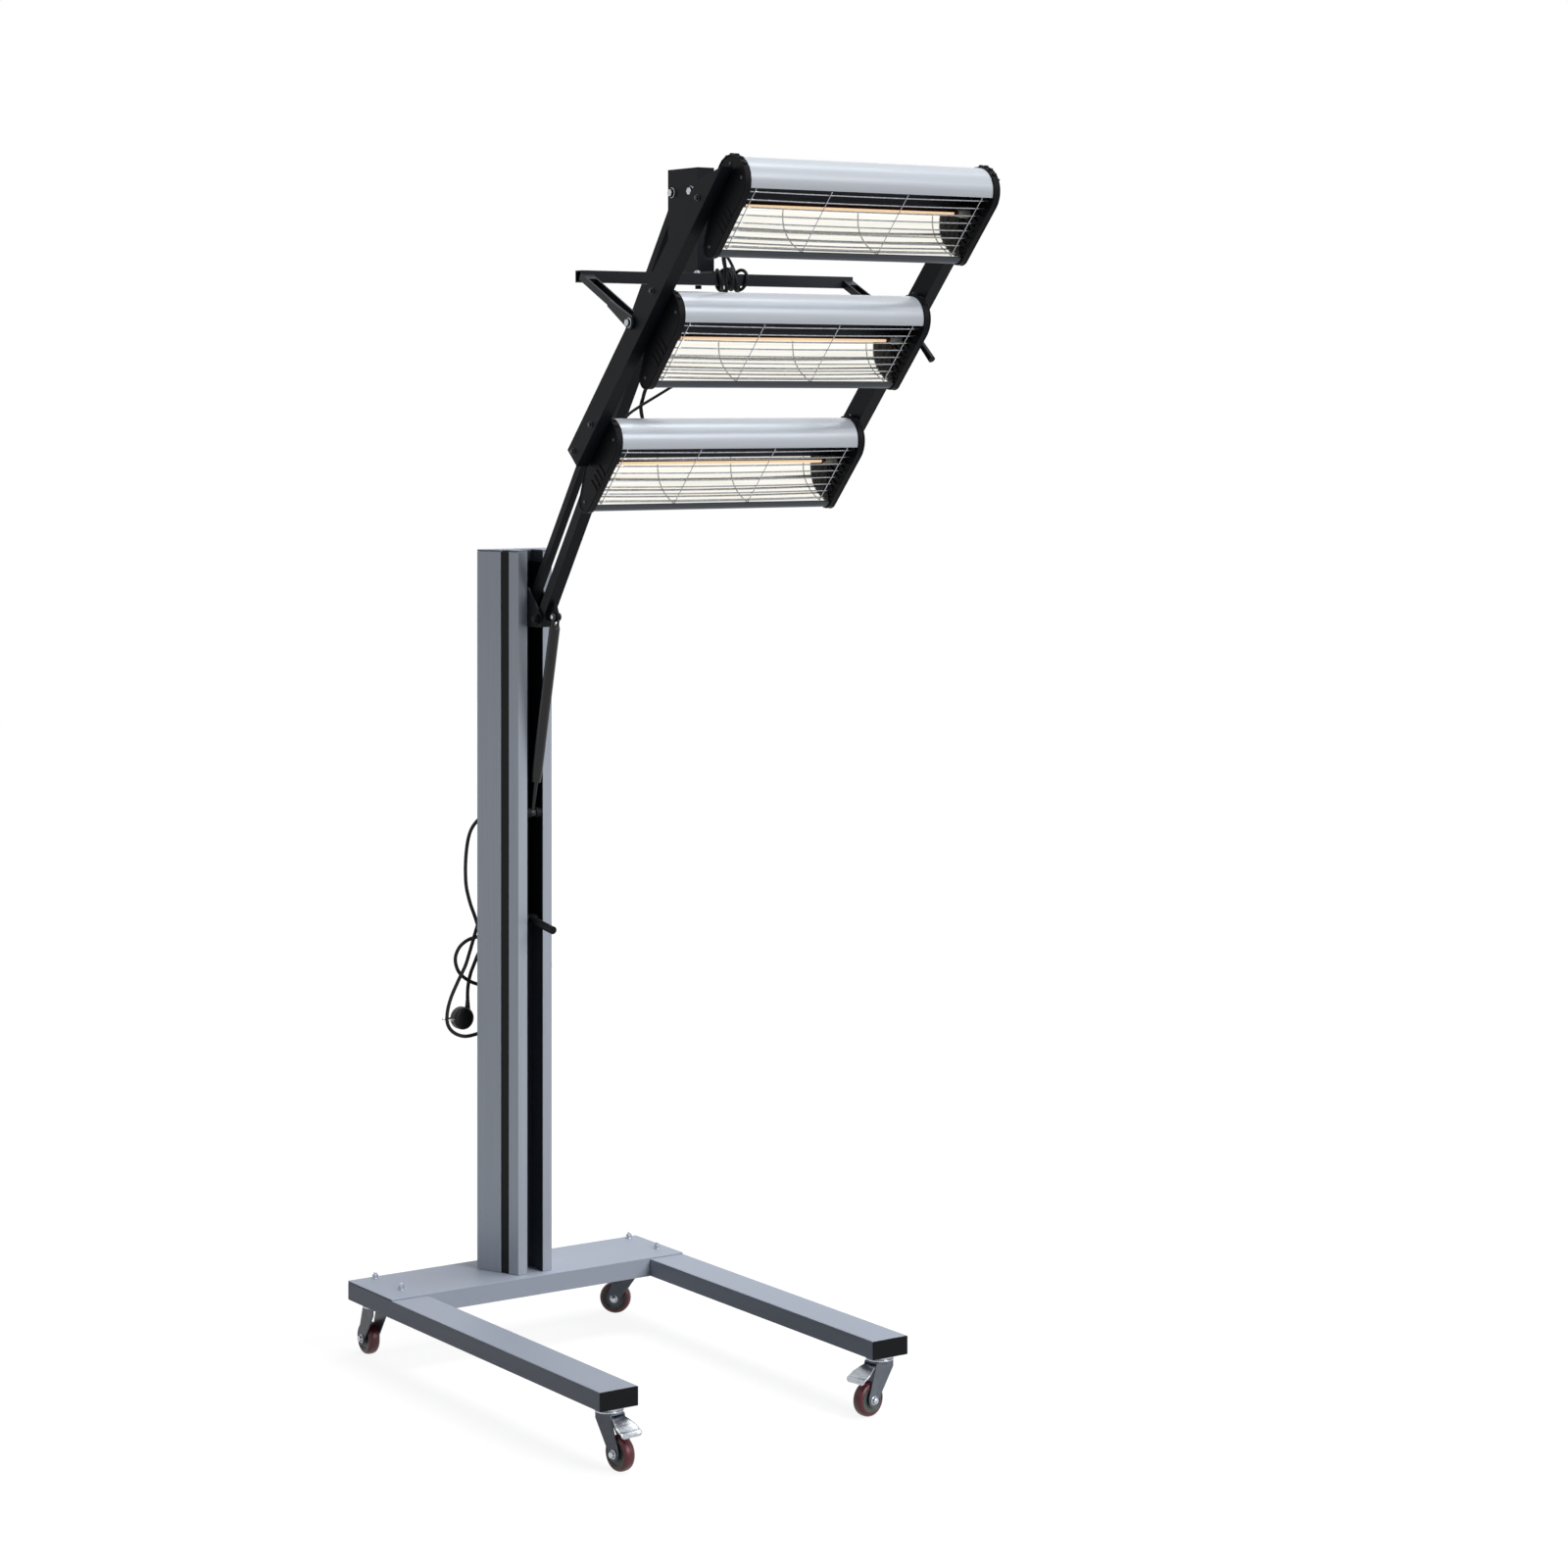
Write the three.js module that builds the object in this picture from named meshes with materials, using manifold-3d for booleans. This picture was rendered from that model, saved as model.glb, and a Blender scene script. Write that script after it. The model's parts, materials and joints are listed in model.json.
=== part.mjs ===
// Infrared paint curing lamp on a wheeled stand, in millimetres, +Z up.
// The lamps and the legs point towards -Y, and the control panel faces +Y.
// Sizes were worked out from one photograph; the origin is on the floor, in the middle of
// the object's box without its mains cord.
import * as THREE from 'three';
import { mergeVertices } from 'three/addons/utils/BufferGeometryUtils.js';
import Module from 'manifold-3d';

const wasm = await Module();
wasm.setup();

// Sizes shared by several pieces
const seatGap = 0.3;          // air between pieces that touch
const overrun = 1;            // how far a cutter runs past what it cuts
const weld = 0.4;             // how far joined shapes run into each other
const roundSides = 20;
const smallSides = 12;
const hexSides = 6;

// Base
const baseWidth = 681;
const legLength = 963;
const legWidth = 80;
const legHeight = 35;
const legWall = 2.5;
const capDepth = 3;
const capPlugDepth = 18;
const trayDepth = 183;
const trayThickness = 3;
const trayBoltRadius = 6.5;
const trayBoltHeight = 8;
const trayBoltInsets = [54, 26]; // from the tray's left and right ends
const trayBoltRearInset = 14;
const trayBoltSpacing = 110;

// Castors
const castorHeight = 112;
const castorTrail = 32;
const frontCastorInset = 35;
const rearCastorInset = 42;
const wheelRadius = 32.5;
const wheelWidth = 24;
const wheelShoulder = 5;
const hubRadius = 21;
const hubRecess = 3;
const hubBossRadius = 8;
const axleRadius = 4;
const axleHeadRadius = 7;
const axleHeadLength = 5;
const forkGap = 28;
const forkWall = 2.5;
const raceRadius = 24;
const raceHeight = 6;
const raceNeckShare = 0.75;
const forkTopDrop = 11;
const forkTopThickness = 3;
const forkEndRadius = 13;
const forkFront = 24;
const forkBack = 20;
const pedalHingeReach = 6;
const pedalHingeDrop = 20;
const pedalLength = 62;
const pedalWidth = 25;
const pedalThickness = 3;
const pedalFall = 12;
const pedalLip = 7;
const pedalPinRadius = 2.5;
const pedalBarrelRadius = 5.5;
// Which way each castor trails in the photograph, as a turn about its own swivel in degrees
const castorTurns = { front_left: 6, front_right: -80, rear_left: 178, rear_right: 225 };

// Column: a tapering extrusion with a deep front channel for the carriage
const columnLength = 1458;
const columnFrontWidth = 78;
const columnRearWidth = 162;
const columnDepth = 94;
const columnSetback = 24;     // from the front edge of the tray to the column's front face
const columnWall = 3;
const slotWidth = 36;
const slotLip = 4;
const channelWidth = 46;
const channelDepth = 54;
const stripStart = 24;
const stripWidth = 20;
const stripGroove = 7;
const stripSink = 1.5;
const columnCapThickness = 3;

// Control panel on the rear face
const panelWidth = 110;
const panelRecess = 3;
const panelThickness = 2.4;
const panelEnd = 3;
const screwInset = 8;
const screwPitch = 153;
const screwRadius = 3.6;
const screwHeadHeight = 2.2;
const screwTopShare = 0.7;
const screwFromTop = 11;
const windowWidth = 76;
const windowHeight = 176;
const windowFromTop = 256;
const selectorFromTop = 102;
const thermostatFromTop = 198;
const rockersFromTop = 284;
const mainRockerFromTop = 398;
const rockerPitch = 25;
const bezelWidth = 14;
const bezelHeight = 31;
const bezelDepth = 2;
const bezelWall = 1.5;
const mainBezelWidth = 23;
const rockerAngle = 11;
const rockerRise = 2.6;
const rockerBody = 5;
const selectorRadius = 24.5;
const selectorSkirt = 5;
const selectorHeight = 20;
const selectorTopShare = 0.9;
const gripWidth = 13;
const gripHeight = 12;
const dialRadius = 24.5;
const dialThickness = 1.5;
const knobRadius = 16.5;
const knobHeight = 17;
const knobTopShare = 0.92;
const knobCapRadius = 9.5;
const knobCapHeight = 2;

// Carriage that slides in the column, and its lock lever
const carriageTopGap = 20;
const carriageLength = 738;
const carriageSideWall = 5.5;
const carriageWeb = 4;
const runClearance = 0.8;
const earThickness = 3.6;
const earGap = 27;
const earRadius = 17;
const earRise = 62;
const pinRadius = 5;
const bossRadius = 9;
const armPivotReach = 36;     // in front of the column's front face
const armPivotBelowTop = 134; // below the column's top
const anchorDrop = 395;
const anchorSetback = 48;
const anchorRadius = 11;
const leverBarrelRadius = 9;
const leverRadius = 8;
const leverLength = 94;
const leverDroop = 8;
const leverAboveEnd = 14;
const leverSetback = 22;      // behind the column's front face

// Arms: a square tube below and a thinner parallel link behind it
const armRun = 570;
const armRise = 832;
const armTube = 25;
const armTubeWall = 2;
const armEnd = 12;
const pivotSpacing = 66;
const linkTube = 16;
const linkTubeWall = 1.6;
const linkEnd = 10;
const lugReach = 46;
const lugRise = 6;
const lugThickness = 6;
const lugRadius = 10;
const lugRootShare = 2.6;
const lugPinRadius = 3.5;

// Gas spring
const cylinderRadius = 11;
const gasRodShowing = 65.9;   // from the cylinder's end to the middle of the rod's eye
const cylinderStart = 16;
const eyeRadius = 8;
const cheekThickness = 3;
const gasRodRadius = 5;
const gasRodInside = 60;
const gasRodStroke = 45;      // free bore above the rod's end
const gasEyeRadius = 9;
const gasEyeWidth = 10;

// Head bracket: a channel open at the rear, with the swivel bolt in its foot
const bracketWidth = 37;
const bracketDepth = 103;
const bracketHeight = 196;
const bracketWall = 3;
const bracketTopAbovePivot = 44;
const bracketFrontAhead = 22; // front face ahead of the main arm's upper pivot
const footDepth = 55;
const footThickness = 6;
const swivelAhead = 4;        // swivel bolt behind the main arm's upper pivot
const swivelBoltRadius = 6;
const swivelHeadRadius = 9;
const swivelHeadHeight = 7;
const swivelNutRadius = 10;
const swivelNutHeight = 6;
const swivelTail = 20;

// Yoke: cross-bar, swivel plate, two struts with ears, tilt pins
const yokeHalf = 303;
const yokeTube = 22;
const yokeTubeWall = 2;
const yokeAhead = 65.5;       // bar's axis ahead of the swivel bolt
const swivelPlateWidth = 40;
const swivelPlateThickness = 4.4;
const swivelPlateTail = 18;
const strutWidth = 24;
const strutThickness = 13;
const strutWall = 3;
const tiltReach = 179.5;      // tilt axis ahead of the bar's axis
const tiltDrop = 87.5;        // and below it
const strutStop = 32;
const earPlate = 4.5;
const earPlateRadius = 12;
const tiltPinRadius = 5;
const tiltHeadRadius = 8;
const tiltHeadLength = 5.5;
const tiltPinInside = 22;

// Head frame: two rails, in the frame of the tilted head
const headLean = 42.5;        // degrees that the lamps face below the horizontal
const railWidth = 25;
const railDepth = 44;
const railWall = 2.5;
const railUp = 388;           // above the tilt axis, at the front face
const railUpRear = 318;       // and at the rear face, where the top is cut on a slant
const railDown = 317;         // below it
const pivotInRail = 8;        // tilt axis ahead of the rail's rear face
const railBoltRadius = 5;
const railBoltSpots = [[14, 300], [12, 85], [20, -228], [8, -305]]; // ahead of and above the tilt axis
const railBoltLength = 4;

// Cassettes
const cassetteStandoff = 15.1; // from a rail's inner face to the end of a cover
const cassettePitch = 306;
const cassetteAhead = 84;     // front plane ahead of the tilt axis
const cassetteShift = 6;      // middle cassette below the tilt axis
const topCircleBack = 41;
const topCircleUp = 62;
const topCircleRadius = 43;
const footCircleBack = 15;
const footCircleDown = 64;
const footCircleRadius = 17;
const plateLip = 3;           // end plate stands this far outside the cover
const plateThickness = 12.7;
const shellWall = 2.4;
const mouthUp = 80;
const mouthDown = 58;
const lampRadius = 6;
const lampBack = 38;
const lampUp = 14;
const ceramicRadius = 9;
const ceramicLength = 26;
const guardWires = 8;
const guardWireRadius = 1.3;
const guardSides = 4;
const guardUp = 70;
const guardDown = 52;
const guardBack = 5;
const crossWireRadius = 1;
const crossWireShares = [-0.87, -0.275, 0.32, 0.915]; // of half the cover's length
const cassetteBoltBack = 70;
const plateBossRadius = 10;
const ventRise = 1.6;
const ventWidth = 5;
const ventLength = 26;
const ventPitch = 13;
const ventCount = 4;

// Tilt clamp lever
const clampHubRadius = 12;
const clampHubLength = 12;
const clampLength = 92;
const clampRadius = 5.5;
const clampTipShare = 1.25;

// Lamp wiring on the back of the head, in the head's own frame: x, back, up from the tilt axis
const wireRadius = 4;
const wireRoute = [
  [-128, -36.25, 267.8], [-128, -28.9, 264.6], [-131, 0, 250], [-136, 24, 232], [-142, 42, 204],
  [-145, 48, 168], [-142, 40, 128], [-135, 20, 96], [-131, 3.3, 68.7], [-132, 4.8, 55],
  [-134, 2.0, 39.6], [-136, -2, 14], [-140, -2, -12], [-146, 6, -50], [-156, 20, -100],
  [-168, 31, -150], [-177, 31, -186], [-180, 20, -216], [-180, 4.6, -230.8], [-180, -2.8, -233.9],
];

// Mains cord: gland, free stretches, coil on a hook and plug. Points are x, y behind the
// rear face of the column, z above the top of the tray
const cordRadius = 3.75;
const glandX = -14;
const glandHeight = 925;
const glandRadius = 10;
const glandLength = 20;
const glandTipShare = 1.7;
const glandNutRadius = 13;
const glandNutLength = 6;
const hookX = 24;
const hookHeight = 644.4;
const hookRadius = 4;
const hookReach = 33;
const hookRise = 18;
const hookPlate = 2.5;
const hookPlateHalf = 14;
const coilX = 24;
const coilHeight = 600;
const coilBehind = 14;
const coilOuter = 80;
const coilPitch = 9;
const coilTurns = 3;
const coilClimb = 0.5;
const coilStart = 180;
const coilEnd = 60;
const coilLayerGap = 9.4;
const coilStepsPerTurn = 24;
const coilSides = 6;
const leadSides = 8;
const leadSteps = 36;
const tailSteps = 80;
const leadRoute = [
  [-14, 20.6, 925], [-14, 36, 924.5], [-18, 50, 921], [-30, 60, 914], [-46, 61, 903], [-62, 53, 889],
  [-76, 43, 871], [-85, 35, 849], [-90, 31, 826], [-91, 30, 801], [-90, 28, 773], [-83, 24, 739],
  [-74, 20, 711], [-64, 16, 674], [-58, 14, 642], [-56, 14, 617], [-56, 14, 607.8],
];
const tailRoute = [
  [58, 23.4, 674.48], [51.5, 23.5, 678.23], [34, 24, 691], [8, 26, 711], [-18, 29, 720], [-44, 31, 714],
  [-59, 31, 700], [-66, 31, 683], [-72, 31, 665], [-81, 31, 639], [-90, 32, 613], [-105, 34, 584],
  [-122, 36, 548], [-130, 36, 519], [-129, 36, 497], [-117, 36, 480], [-93, 34, 469], [-66, 31, 471],
  [-38, 31, 480], [-8, 33, 502], [20, 38, 542], [34, 46, 588], [26, 50, 628], [2, 49, 656],
  [-28, 46, 667], [-56, 44, 665], [-79, 46, 659], [-97, 48, 646], [-103, 50, 622], [-95, 52, 599],
  [-76, 52, 581], [-54, 50, 570], [-28, 50, 565], [0, 54, 572], [22, 60, 596], [22, 63, 626],
  [4, 64, 647], [-20, 64, 648], [-38, 63, 634], [-50, 62, 614], [-60, 62, 593], [-66, 62, 571],
  [-68, 62, 552], [-68, 62, 541.4],
];
const plugX = -68;
const plugBehind = 62;
const plugHeight = 541;
const plugNeckLength = 32;
const plugNeckRadius = 7;
const plugNeckTipShare = 1.15;
const plugBodyX = -81;
const plugBodyHeight = 501;
const plugBodyRadius = 23;
const plugBodyDepth = 26;
const plugPinRadius = 2.4;
const plugPinLength = 19;
const plugPinSpacing = 19;

// Places worked out from the sizes
const legBottom = castorHeight;
const legTop = legBottom + legHeight;
const trayTop = legTop + trayThickness;
const legRear = legLength / 2;
const legFront = -legLength / 2;
const legCentre = (baseWidth - legWidth) / 2;
const trayFront = legRear - trayDepth;
const columnFront = trayFront + columnSetback;
const columnRear = columnFront + columnDepth;
const columnTop = trayTop + columnLength;
const panelFace = columnRear - panelRecess + panelThickness + seatGap;
const armLength = Math.hypot(armRun, armRise);
const armAngle = Math.atan2(armRun, armRise);
const armPivotY = columnFront - armPivotReach;
const armPivotZ = columnTop - armPivotBelowTop;
const topPivotY = armPivotY - armRun;
const topPivotZ = armPivotZ + armRise;
const bracketFront = topPivotY - bracketFrontAhead;
const bracketTop = topPivotZ + bracketTopAbovePivot;
const bracketFoot = bracketTop - bracketHeight;
const swivelY = topPivotY + swivelAhead;
const barY = swivelY - yokeAhead;
const barZ = bracketFoot - seatGap - swivelPlateThickness - yokeTube / 2;
const tiltY = barY - tiltReach;
const tiltZ = barZ - tiltDrop;
const railOuter = yokeHalf - seatGap * 3;
const railInner = railOuter - railWidth;
const cassetteHalf = railInner - cassetteStandoff;
const carriageTop = columnTop - carriageTopGap;
const carriageEnd = carriageTop - carriageLength;
const anchorY = armPivotY + anchorSetback;
const anchorZ = armPivotZ - anchorDrop;
const lugY = armPivotY - lugReach;
const lugZ = armPivotZ + lugRise;
const springAngle = Math.atan2(anchorY - lugY, lugZ - anchorZ);
const springLength = Math.hypot(anchorY - lugY, lugZ - anchorZ);
const cylinderLength = springLength - cylinderStart - gasRodShowing;
const degree = Math.PI / 180;

// Materials
const finishes = {
  greyPaint: [0x8d95a3, 0.55, 0.25],
  aluminium: [0xa4abb6, 0.38, 0.85],
  satinAluminium: [0xc5cad5, 0.3, 0.9],
  blackPaint: [0x1d1f24, 0.5, 0.2],
  blackPlastic: [0x141518, 0.45, 0.0],
  blackPanel: [0x17181a, 0.35, 0.1],
  zinc: [0xb9bdc4, 0.32, 0.95],
  steel: [0xc4c6ca, 0.25, 1.0],
  maroon: [0x5a1420, 0.45, 0.0],
  dial: [0xb4b6ba, 0.4, 0.6],
  lampGlass: [0xffe9c0, 0.1, 0.0],
  wire: [0x9c9fa5, 0.3, 0.9],
  rubber: [0x111214, 0.7, 0.0],
};
function materialOf(name) {
  const [color, roughness, metalness] = finishes[name];
  return new THREE.MeshStandardMaterial({ color, roughness, metalness });
}

// Solids: three.js shapes are joined and cut as manifold solids
function solidOf(geometry) {
  const bare = geometry.clone();
  bare.deleteAttribute('normal');
  bare.deleteAttribute('uv');
  const merged = mergeVertices(bare);
  return new wasm.Manifold(new wasm.Mesh({
    numProp: 3,
    vertProperties: new Float32Array(merged.attributes.position.array),
    triVerts: new Uint32Array(merged.index.array),
  }));
}
function join(first, ...others) {
  return others.reduce((sum, other) => sum.add(other), first);
}
function cut(first, ...others) {
  return others.reduce((rest, other) => rest.subtract(other), first);
}
function geometryOf(solid) {
  const mesh = solid.getMesh();
  const geometry = new THREE.BufferGeometry();
  geometry.setAttribute('position', new THREE.BufferAttribute(new Float32Array(mesh.vertProperties), 3));
  geometry.setIndex(new THREE.BufferAttribute(new Uint32Array(mesh.triVerts), 1));
  geometry.computeVertexNormals();
  return geometry;
}

// A box between two corners
function block([x0, x1], [y0, y1], [z0, z1]) {
  const geometry = new THREE.BoxGeometry(x1 - x0, y1 - y0, z1 - z0);
  geometry.translate((x0 + x1) / 2, (y0 + y1) / 2, (z0 + z1) / 2);
  return solidOf(geometry);
}
// A straight prism: the outline lies in the two other axes, in the order YZ, XZ or XY
function prism(axis, outline, from, to) {
  const shape = new THREE.Shape(outline.map(([u, v]) => new THREE.Vector2(u, v)));
  const geometry = new THREE.ExtrudeGeometry(shape, { depth: to - from, bevelEnabled: false });
  const along = {
    x: [[0, 1, 0], [0, 0, 1], [1, 0, 0], [from, 0, 0]],
    y: [[1, 0, 0], [0, 0, 1], [0, -1, 0], [0, to, 0]],
    z: [[1, 0, 0], [0, 1, 0], [0, 0, 1], [0, 0, from]],
  }[axis].map((list) => new THREE.Vector3(...list));
  const matrix = new THREE.Matrix4().makeBasis(along[0], along[1], along[2]).setPosition(along[3]);
  geometry.applyMatrix4(matrix);
  return solidOf(geometry);
}
// A round bar between two points
function bar(radius, start, end, sides = smallSides, endRadius = radius) {
  const a = new THREE.Vector3(...start);
  const b = new THREE.Vector3(...end);
  const geometry = new THREE.CylinderGeometry(endRadius, radius, a.distanceTo(b), sides);
  const turn = new THREE.Quaternion().setFromUnitVectors(
    new THREE.Vector3(0, 1, 0), b.clone().sub(a).normalize());
  geometry.applyQuaternion(turn);
  geometry.translate((a.x + b.x) / 2, (a.y + b.y) / 2, (a.z + b.z) / 2);
  return solidOf(geometry);
}
// A turned piece: the profile holds radius and height pairs, and the axis points to +Z
function turned(profile, sides = roundSides) {
  const geometry = new THREE.LatheGeometry(profile.map(([r, h]) => new THREE.Vector2(r, h)), sides);
  geometry.rotateX(Math.PI / 2);
  return solidOf(geometry);
}
// Points of an arc from one angle to another, in degrees
function arc([cu, cv], radius, from, to, steps) {
  return Array.from({ length: steps + 1 }, (_, i) => {
    const angle = (from + (to - from) * i / steps) * degree;
    return [cu + radius * Math.cos(angle), cv + radius * Math.sin(angle)];
  });
}
function ringOf(centre, radius, sides) {
  return arc(centre, radius, 0, 360 - 360 / sides, sides - 1);
}
// A tube along points, closed at both ends
function tube(points, radius, sides, steps) {
  const curve = new THREE.CatmullRomCurve3(points.map((p) => new THREE.Vector3(...p)), false, 'centripetal');
  const shape = new THREE.Shape(ringOf([0, 0], radius, sides).map(([u, v]) => new THREE.Vector2(u, v)));
  return solidOf(new THREE.ExtrudeGeometry(shape, { steps, extrudePath: curve, bevelEnabled: false }));
}
function sorted(a, b) {
  return [Math.min(a, b), Math.max(a, b)];
}
function mirrored(outline) {
  return outline.map(([u, v]) => [-u, v]).reverse();
}

// The scene: groups are the moving bodies, and every mesh is one piece
const lamp = new THREE.Group();
lamp.name = 'infrared_paint_curing_lamp';
function piece(parent, name, finish, solid) {
  const mesh = new THREE.Mesh(geometryOf(solid), materialOf(finish));
  mesh.name = name;
  parent.add(mesh);
  return mesh;
}
function body(parent, name, x, y, z) {
  const group = new THREE.Group();
  group.name = name;
  group.position.set(x, y, z);
  parent.add(group);
  return group;
}

// Base: two tube legs, a folded tray across their rear ends, and black end caps in front
function tray() {
  const half = baseWidth / 2;
  const inner = half - legWidth - seatGap;
  const plate = block([-half, half], [trayFront, legRear], [legTop + seatGap, trayTop]);
  const flange = (from) => block([-inner, inner], [from, from + trayThickness],
    [legBottom, trayTop - trayThickness / 2]);
  const bolts = [-1, 1].flatMap((side, end) => [0, 1].map((row) => {
    const x = side * (half - trayBoltInsets[end]);
    const y = legRear - trayBoltRearInset - row * trayBoltSpacing;
    return bar(trayBoltRadius, [x, y, trayTop - weld], [x, y, trayTop + trayBoltHeight], hexSides);
  }));
  return join(plate, flange(trayFront), flange(legRear - trayThickness), ...bolts);
}
function leg(side) {
  const inner = side * (baseWidth / 2 - legWidth);
  const outer = side * baseWidth / 2;
  const [x0, x1] = sorted(inner, outer);
  const front = legFront + capDepth + seatGap;
  const skin = block([x0, x1], [front, legRear], [legBottom, legTop]);
  const hollow = block([x0 + legWall, x1 - legWall], [front - overrun, legRear + overrun],
    [legBottom + legWall, legTop - legWall]);
  return cut(skin, hollow);
}
function legCap(side) {
  const inner = side * (baseWidth / 2 - legWidth);
  const outer = side * baseWidth / 2;
  const [x0, x1] = sorted(inner, outer);
  const wall = legWall + seatGap;
  const lid = block([x0, x1], [legFront, legFront + capDepth], [legBottom, legTop]);
  const plug = block([x0 + wall, x1 - wall], [legFront + capDepth - weld, legFront + capPlugDepth],
    [legBottom + wall, legTop - wall]);
  return join(lid, plug);
}
piece(lamp, 'cross_tray', 'greyPaint', tray());
for (const [label, side] of [['left', -1], ['right', 1]]) {
  piece(lamp, `leg_${label}`, 'greyPaint', leg(side));
  piece(lamp, `leg_cap_${label}`, 'blackPlastic', legCap(side));
}

// Castors: a swivelling fork with its axle, a two-tone wheel, and a brake pedal in front
function fork(braked) {
  const axleDrop = castorHeight - wheelRadius;
  const topZ = -seatGap;
  const plateTop = -forkTopDrop;
  const race = turned([[0, topZ], [raceRadius, topZ], [raceRadius, topZ - raceHeight],
    [raceRadius * raceNeckShare, plateTop - weld], [0, plateTop - weld]].reverse());
  const half = forkGap / 2 + forkWall;
  const crown = block([-half, half], [-forkFront, forkBack], [plateTop - forkTopThickness, plateTop]);
  const side = [
    [forkBack, plateTop], [-forkFront, plateTop],
    [-castorTrail - forkEndRadius, -axleDrop + forkEndRadius / 2],
    ...arc([-castorTrail, -axleDrop], forkEndRadius, 180, 360, 8),
    [forkBack, plateTop - forkEndRadius],
  ];
  const cheeks = [[-half, -half + forkWall], [half - forkWall, half]]
    .map(([from, to]) => prism('x', side, from, to));
  const axle = bar(axleRadius, [-half - weld, -castorTrail, -axleDrop],
    [half + weld, -castorTrail, -axleDrop]);
  const heads = [-1, 1].map((end) => bar(axleHeadRadius,
    [end * half, -castorTrail, -axleDrop],
    [end * (half + axleHeadLength), -castorTrail, -axleDrop], hexSides));
  const pin = bar(pedalPinRadius, [-half + weld, -pedalHingeReach, -pedalHingeDrop],
    [half - weld, -pedalHingeReach, -pedalHingeDrop]);
  return join(race, crown, ...cheeks, axle, ...heads, ...(braked ? [pin] : []));
}
function wheel() {
  const half = wheelWidth / 2;
  const bore = axleRadius + seatGap;
  const hubHalf = half - hubRecess;
  const rim = hubRadius + hubRecess;
  const profile = [
    [bore, -half], [hubBossRadius, -half], [hubBossRadius, -hubHalf], [hubRadius, -hubHalf],
    [rim, -half], [wheelRadius - wheelShoulder, -half], [wheelRadius, -half + wheelShoulder],
    [wheelRadius, half - wheelShoulder], [wheelRadius - wheelShoulder, half], [rim, half],
    [hubRadius, hubHalf], [hubBossRadius, hubHalf], [hubBossRadius, half], [bore, half], [bore, -half],
  ];
  const geometry = new THREE.LatheGeometry(profile.map(([r, h]) => new THREE.Vector2(r, h)), roundSides);
  geometry.rotateZ(-Math.PI / 2);
  return solidOf(geometry);
}
function pedal() {
  const reach = pedalLength - pedalHingeReach;
  const outline = [
    [pedalThickness * 2, pedalThickness], [-reach / 2, pedalThickness],
    [-reach, pedalThickness - pedalFall], [-reach, -pedalFall - pedalLip],
    [-reach + pedalThickness, -pedalFall - pedalLip], [-reach + pedalThickness, -pedalFall],
    [-reach / 2, 0], [0, -pedalThickness], [pedalThickness * 2, -pedalThickness],
  ];
  const barrelHalf = forkGap / 2 - seatGap;
  return cut(join(prism('x', outline.reverse(), -pedalWidth / 2, pedalWidth / 2),
    bar(pedalBarrelRadius, [-barrelHalf, 0, 0], [barrelHalf, 0, 0])),
  bar(pedalPinRadius + seatGap, [-forkGap, 0, 0], [forkGap, 0, 0]));
}
const castorPlaces = {
  front_left: [-legCentre, legFront + frontCastorInset],
  front_right: [legCentre, legFront + frontCastorInset],
  rear_left: [-legCentre, legRear - rearCastorInset],
  rear_right: [legCentre, legRear - rearCastorInset],
};
for (const [label, [x, y]] of Object.entries(castorPlaces)) {
  const swivel = body(lamp, `castor_${label}`, x, y, legBottom);
  swivel.rotation.z = castorTurns[label] * degree;
  piece(swivel, `castor_fork_${label}`, 'zinc', fork(label.startsWith('front')));
  const spin = body(swivel, `wheel_${label}_body`, 0, -castorTrail, wheelRadius - castorHeight);
  piece(spin, `wheel_${label}`, 'maroon', wheel());
  if (label.startsWith('front')) {
    const hinge = body(swivel, `pedal_${label}_body`, 0, -pedalHingeReach, -pedalHingeDrop);
    piece(hinge, `brake_pedal_${label}`, 'zinc', pedal());
  }
}

// Column: tapering extrusion with a lipped front channel, side grooves and a rear recess
const sideRun = (columnRearWidth - columnFrontWidth) / 2;
const sideLength = Math.hypot(sideRun, columnDepth);
function onSide(along, inward) {
  const tx = sideRun / sideLength;
  const ty = columnDepth / sideLength;
  return [columnFrontWidth / 2 + tx * along - ty * inward, columnFront + ty * along + tx * inward];
}
function sidePatch(start, end, outer, inner) {
  return [onSide(start, outer), onSide(start, inner), onSide(end, inner), onSide(end, outer)].reverse();
}
function taper(inset) {
  const f = columnFrontWidth / 2 - inset;
  const r = columnRearWidth / 2 - inset;
  const [front, rear] = [columnFront + inset, columnRear - inset];
  return [[-f, front], [f, front], [r, rear], [-r, rear]];
}
function notch(depthPast) {
  const half = slotWidth / 2;
  const wide = channelWidth / 2;
  return [[-half, columnFront - overrun], [half, columnFront - overrun], [half, columnFront + slotLip],
    [wide, columnFront + slotLip], [wide, columnFront + channelDepth + depthPast],
    [-wide, columnFront + channelDepth + depthPast], [-wide, columnFront + slotLip],
    [-half, columnFront + slotLip]];
}
function both(outline, from, to) {
  return [prism('z', outline, from, to), prism('z', mirrored(outline), from, to)];
}
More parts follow.
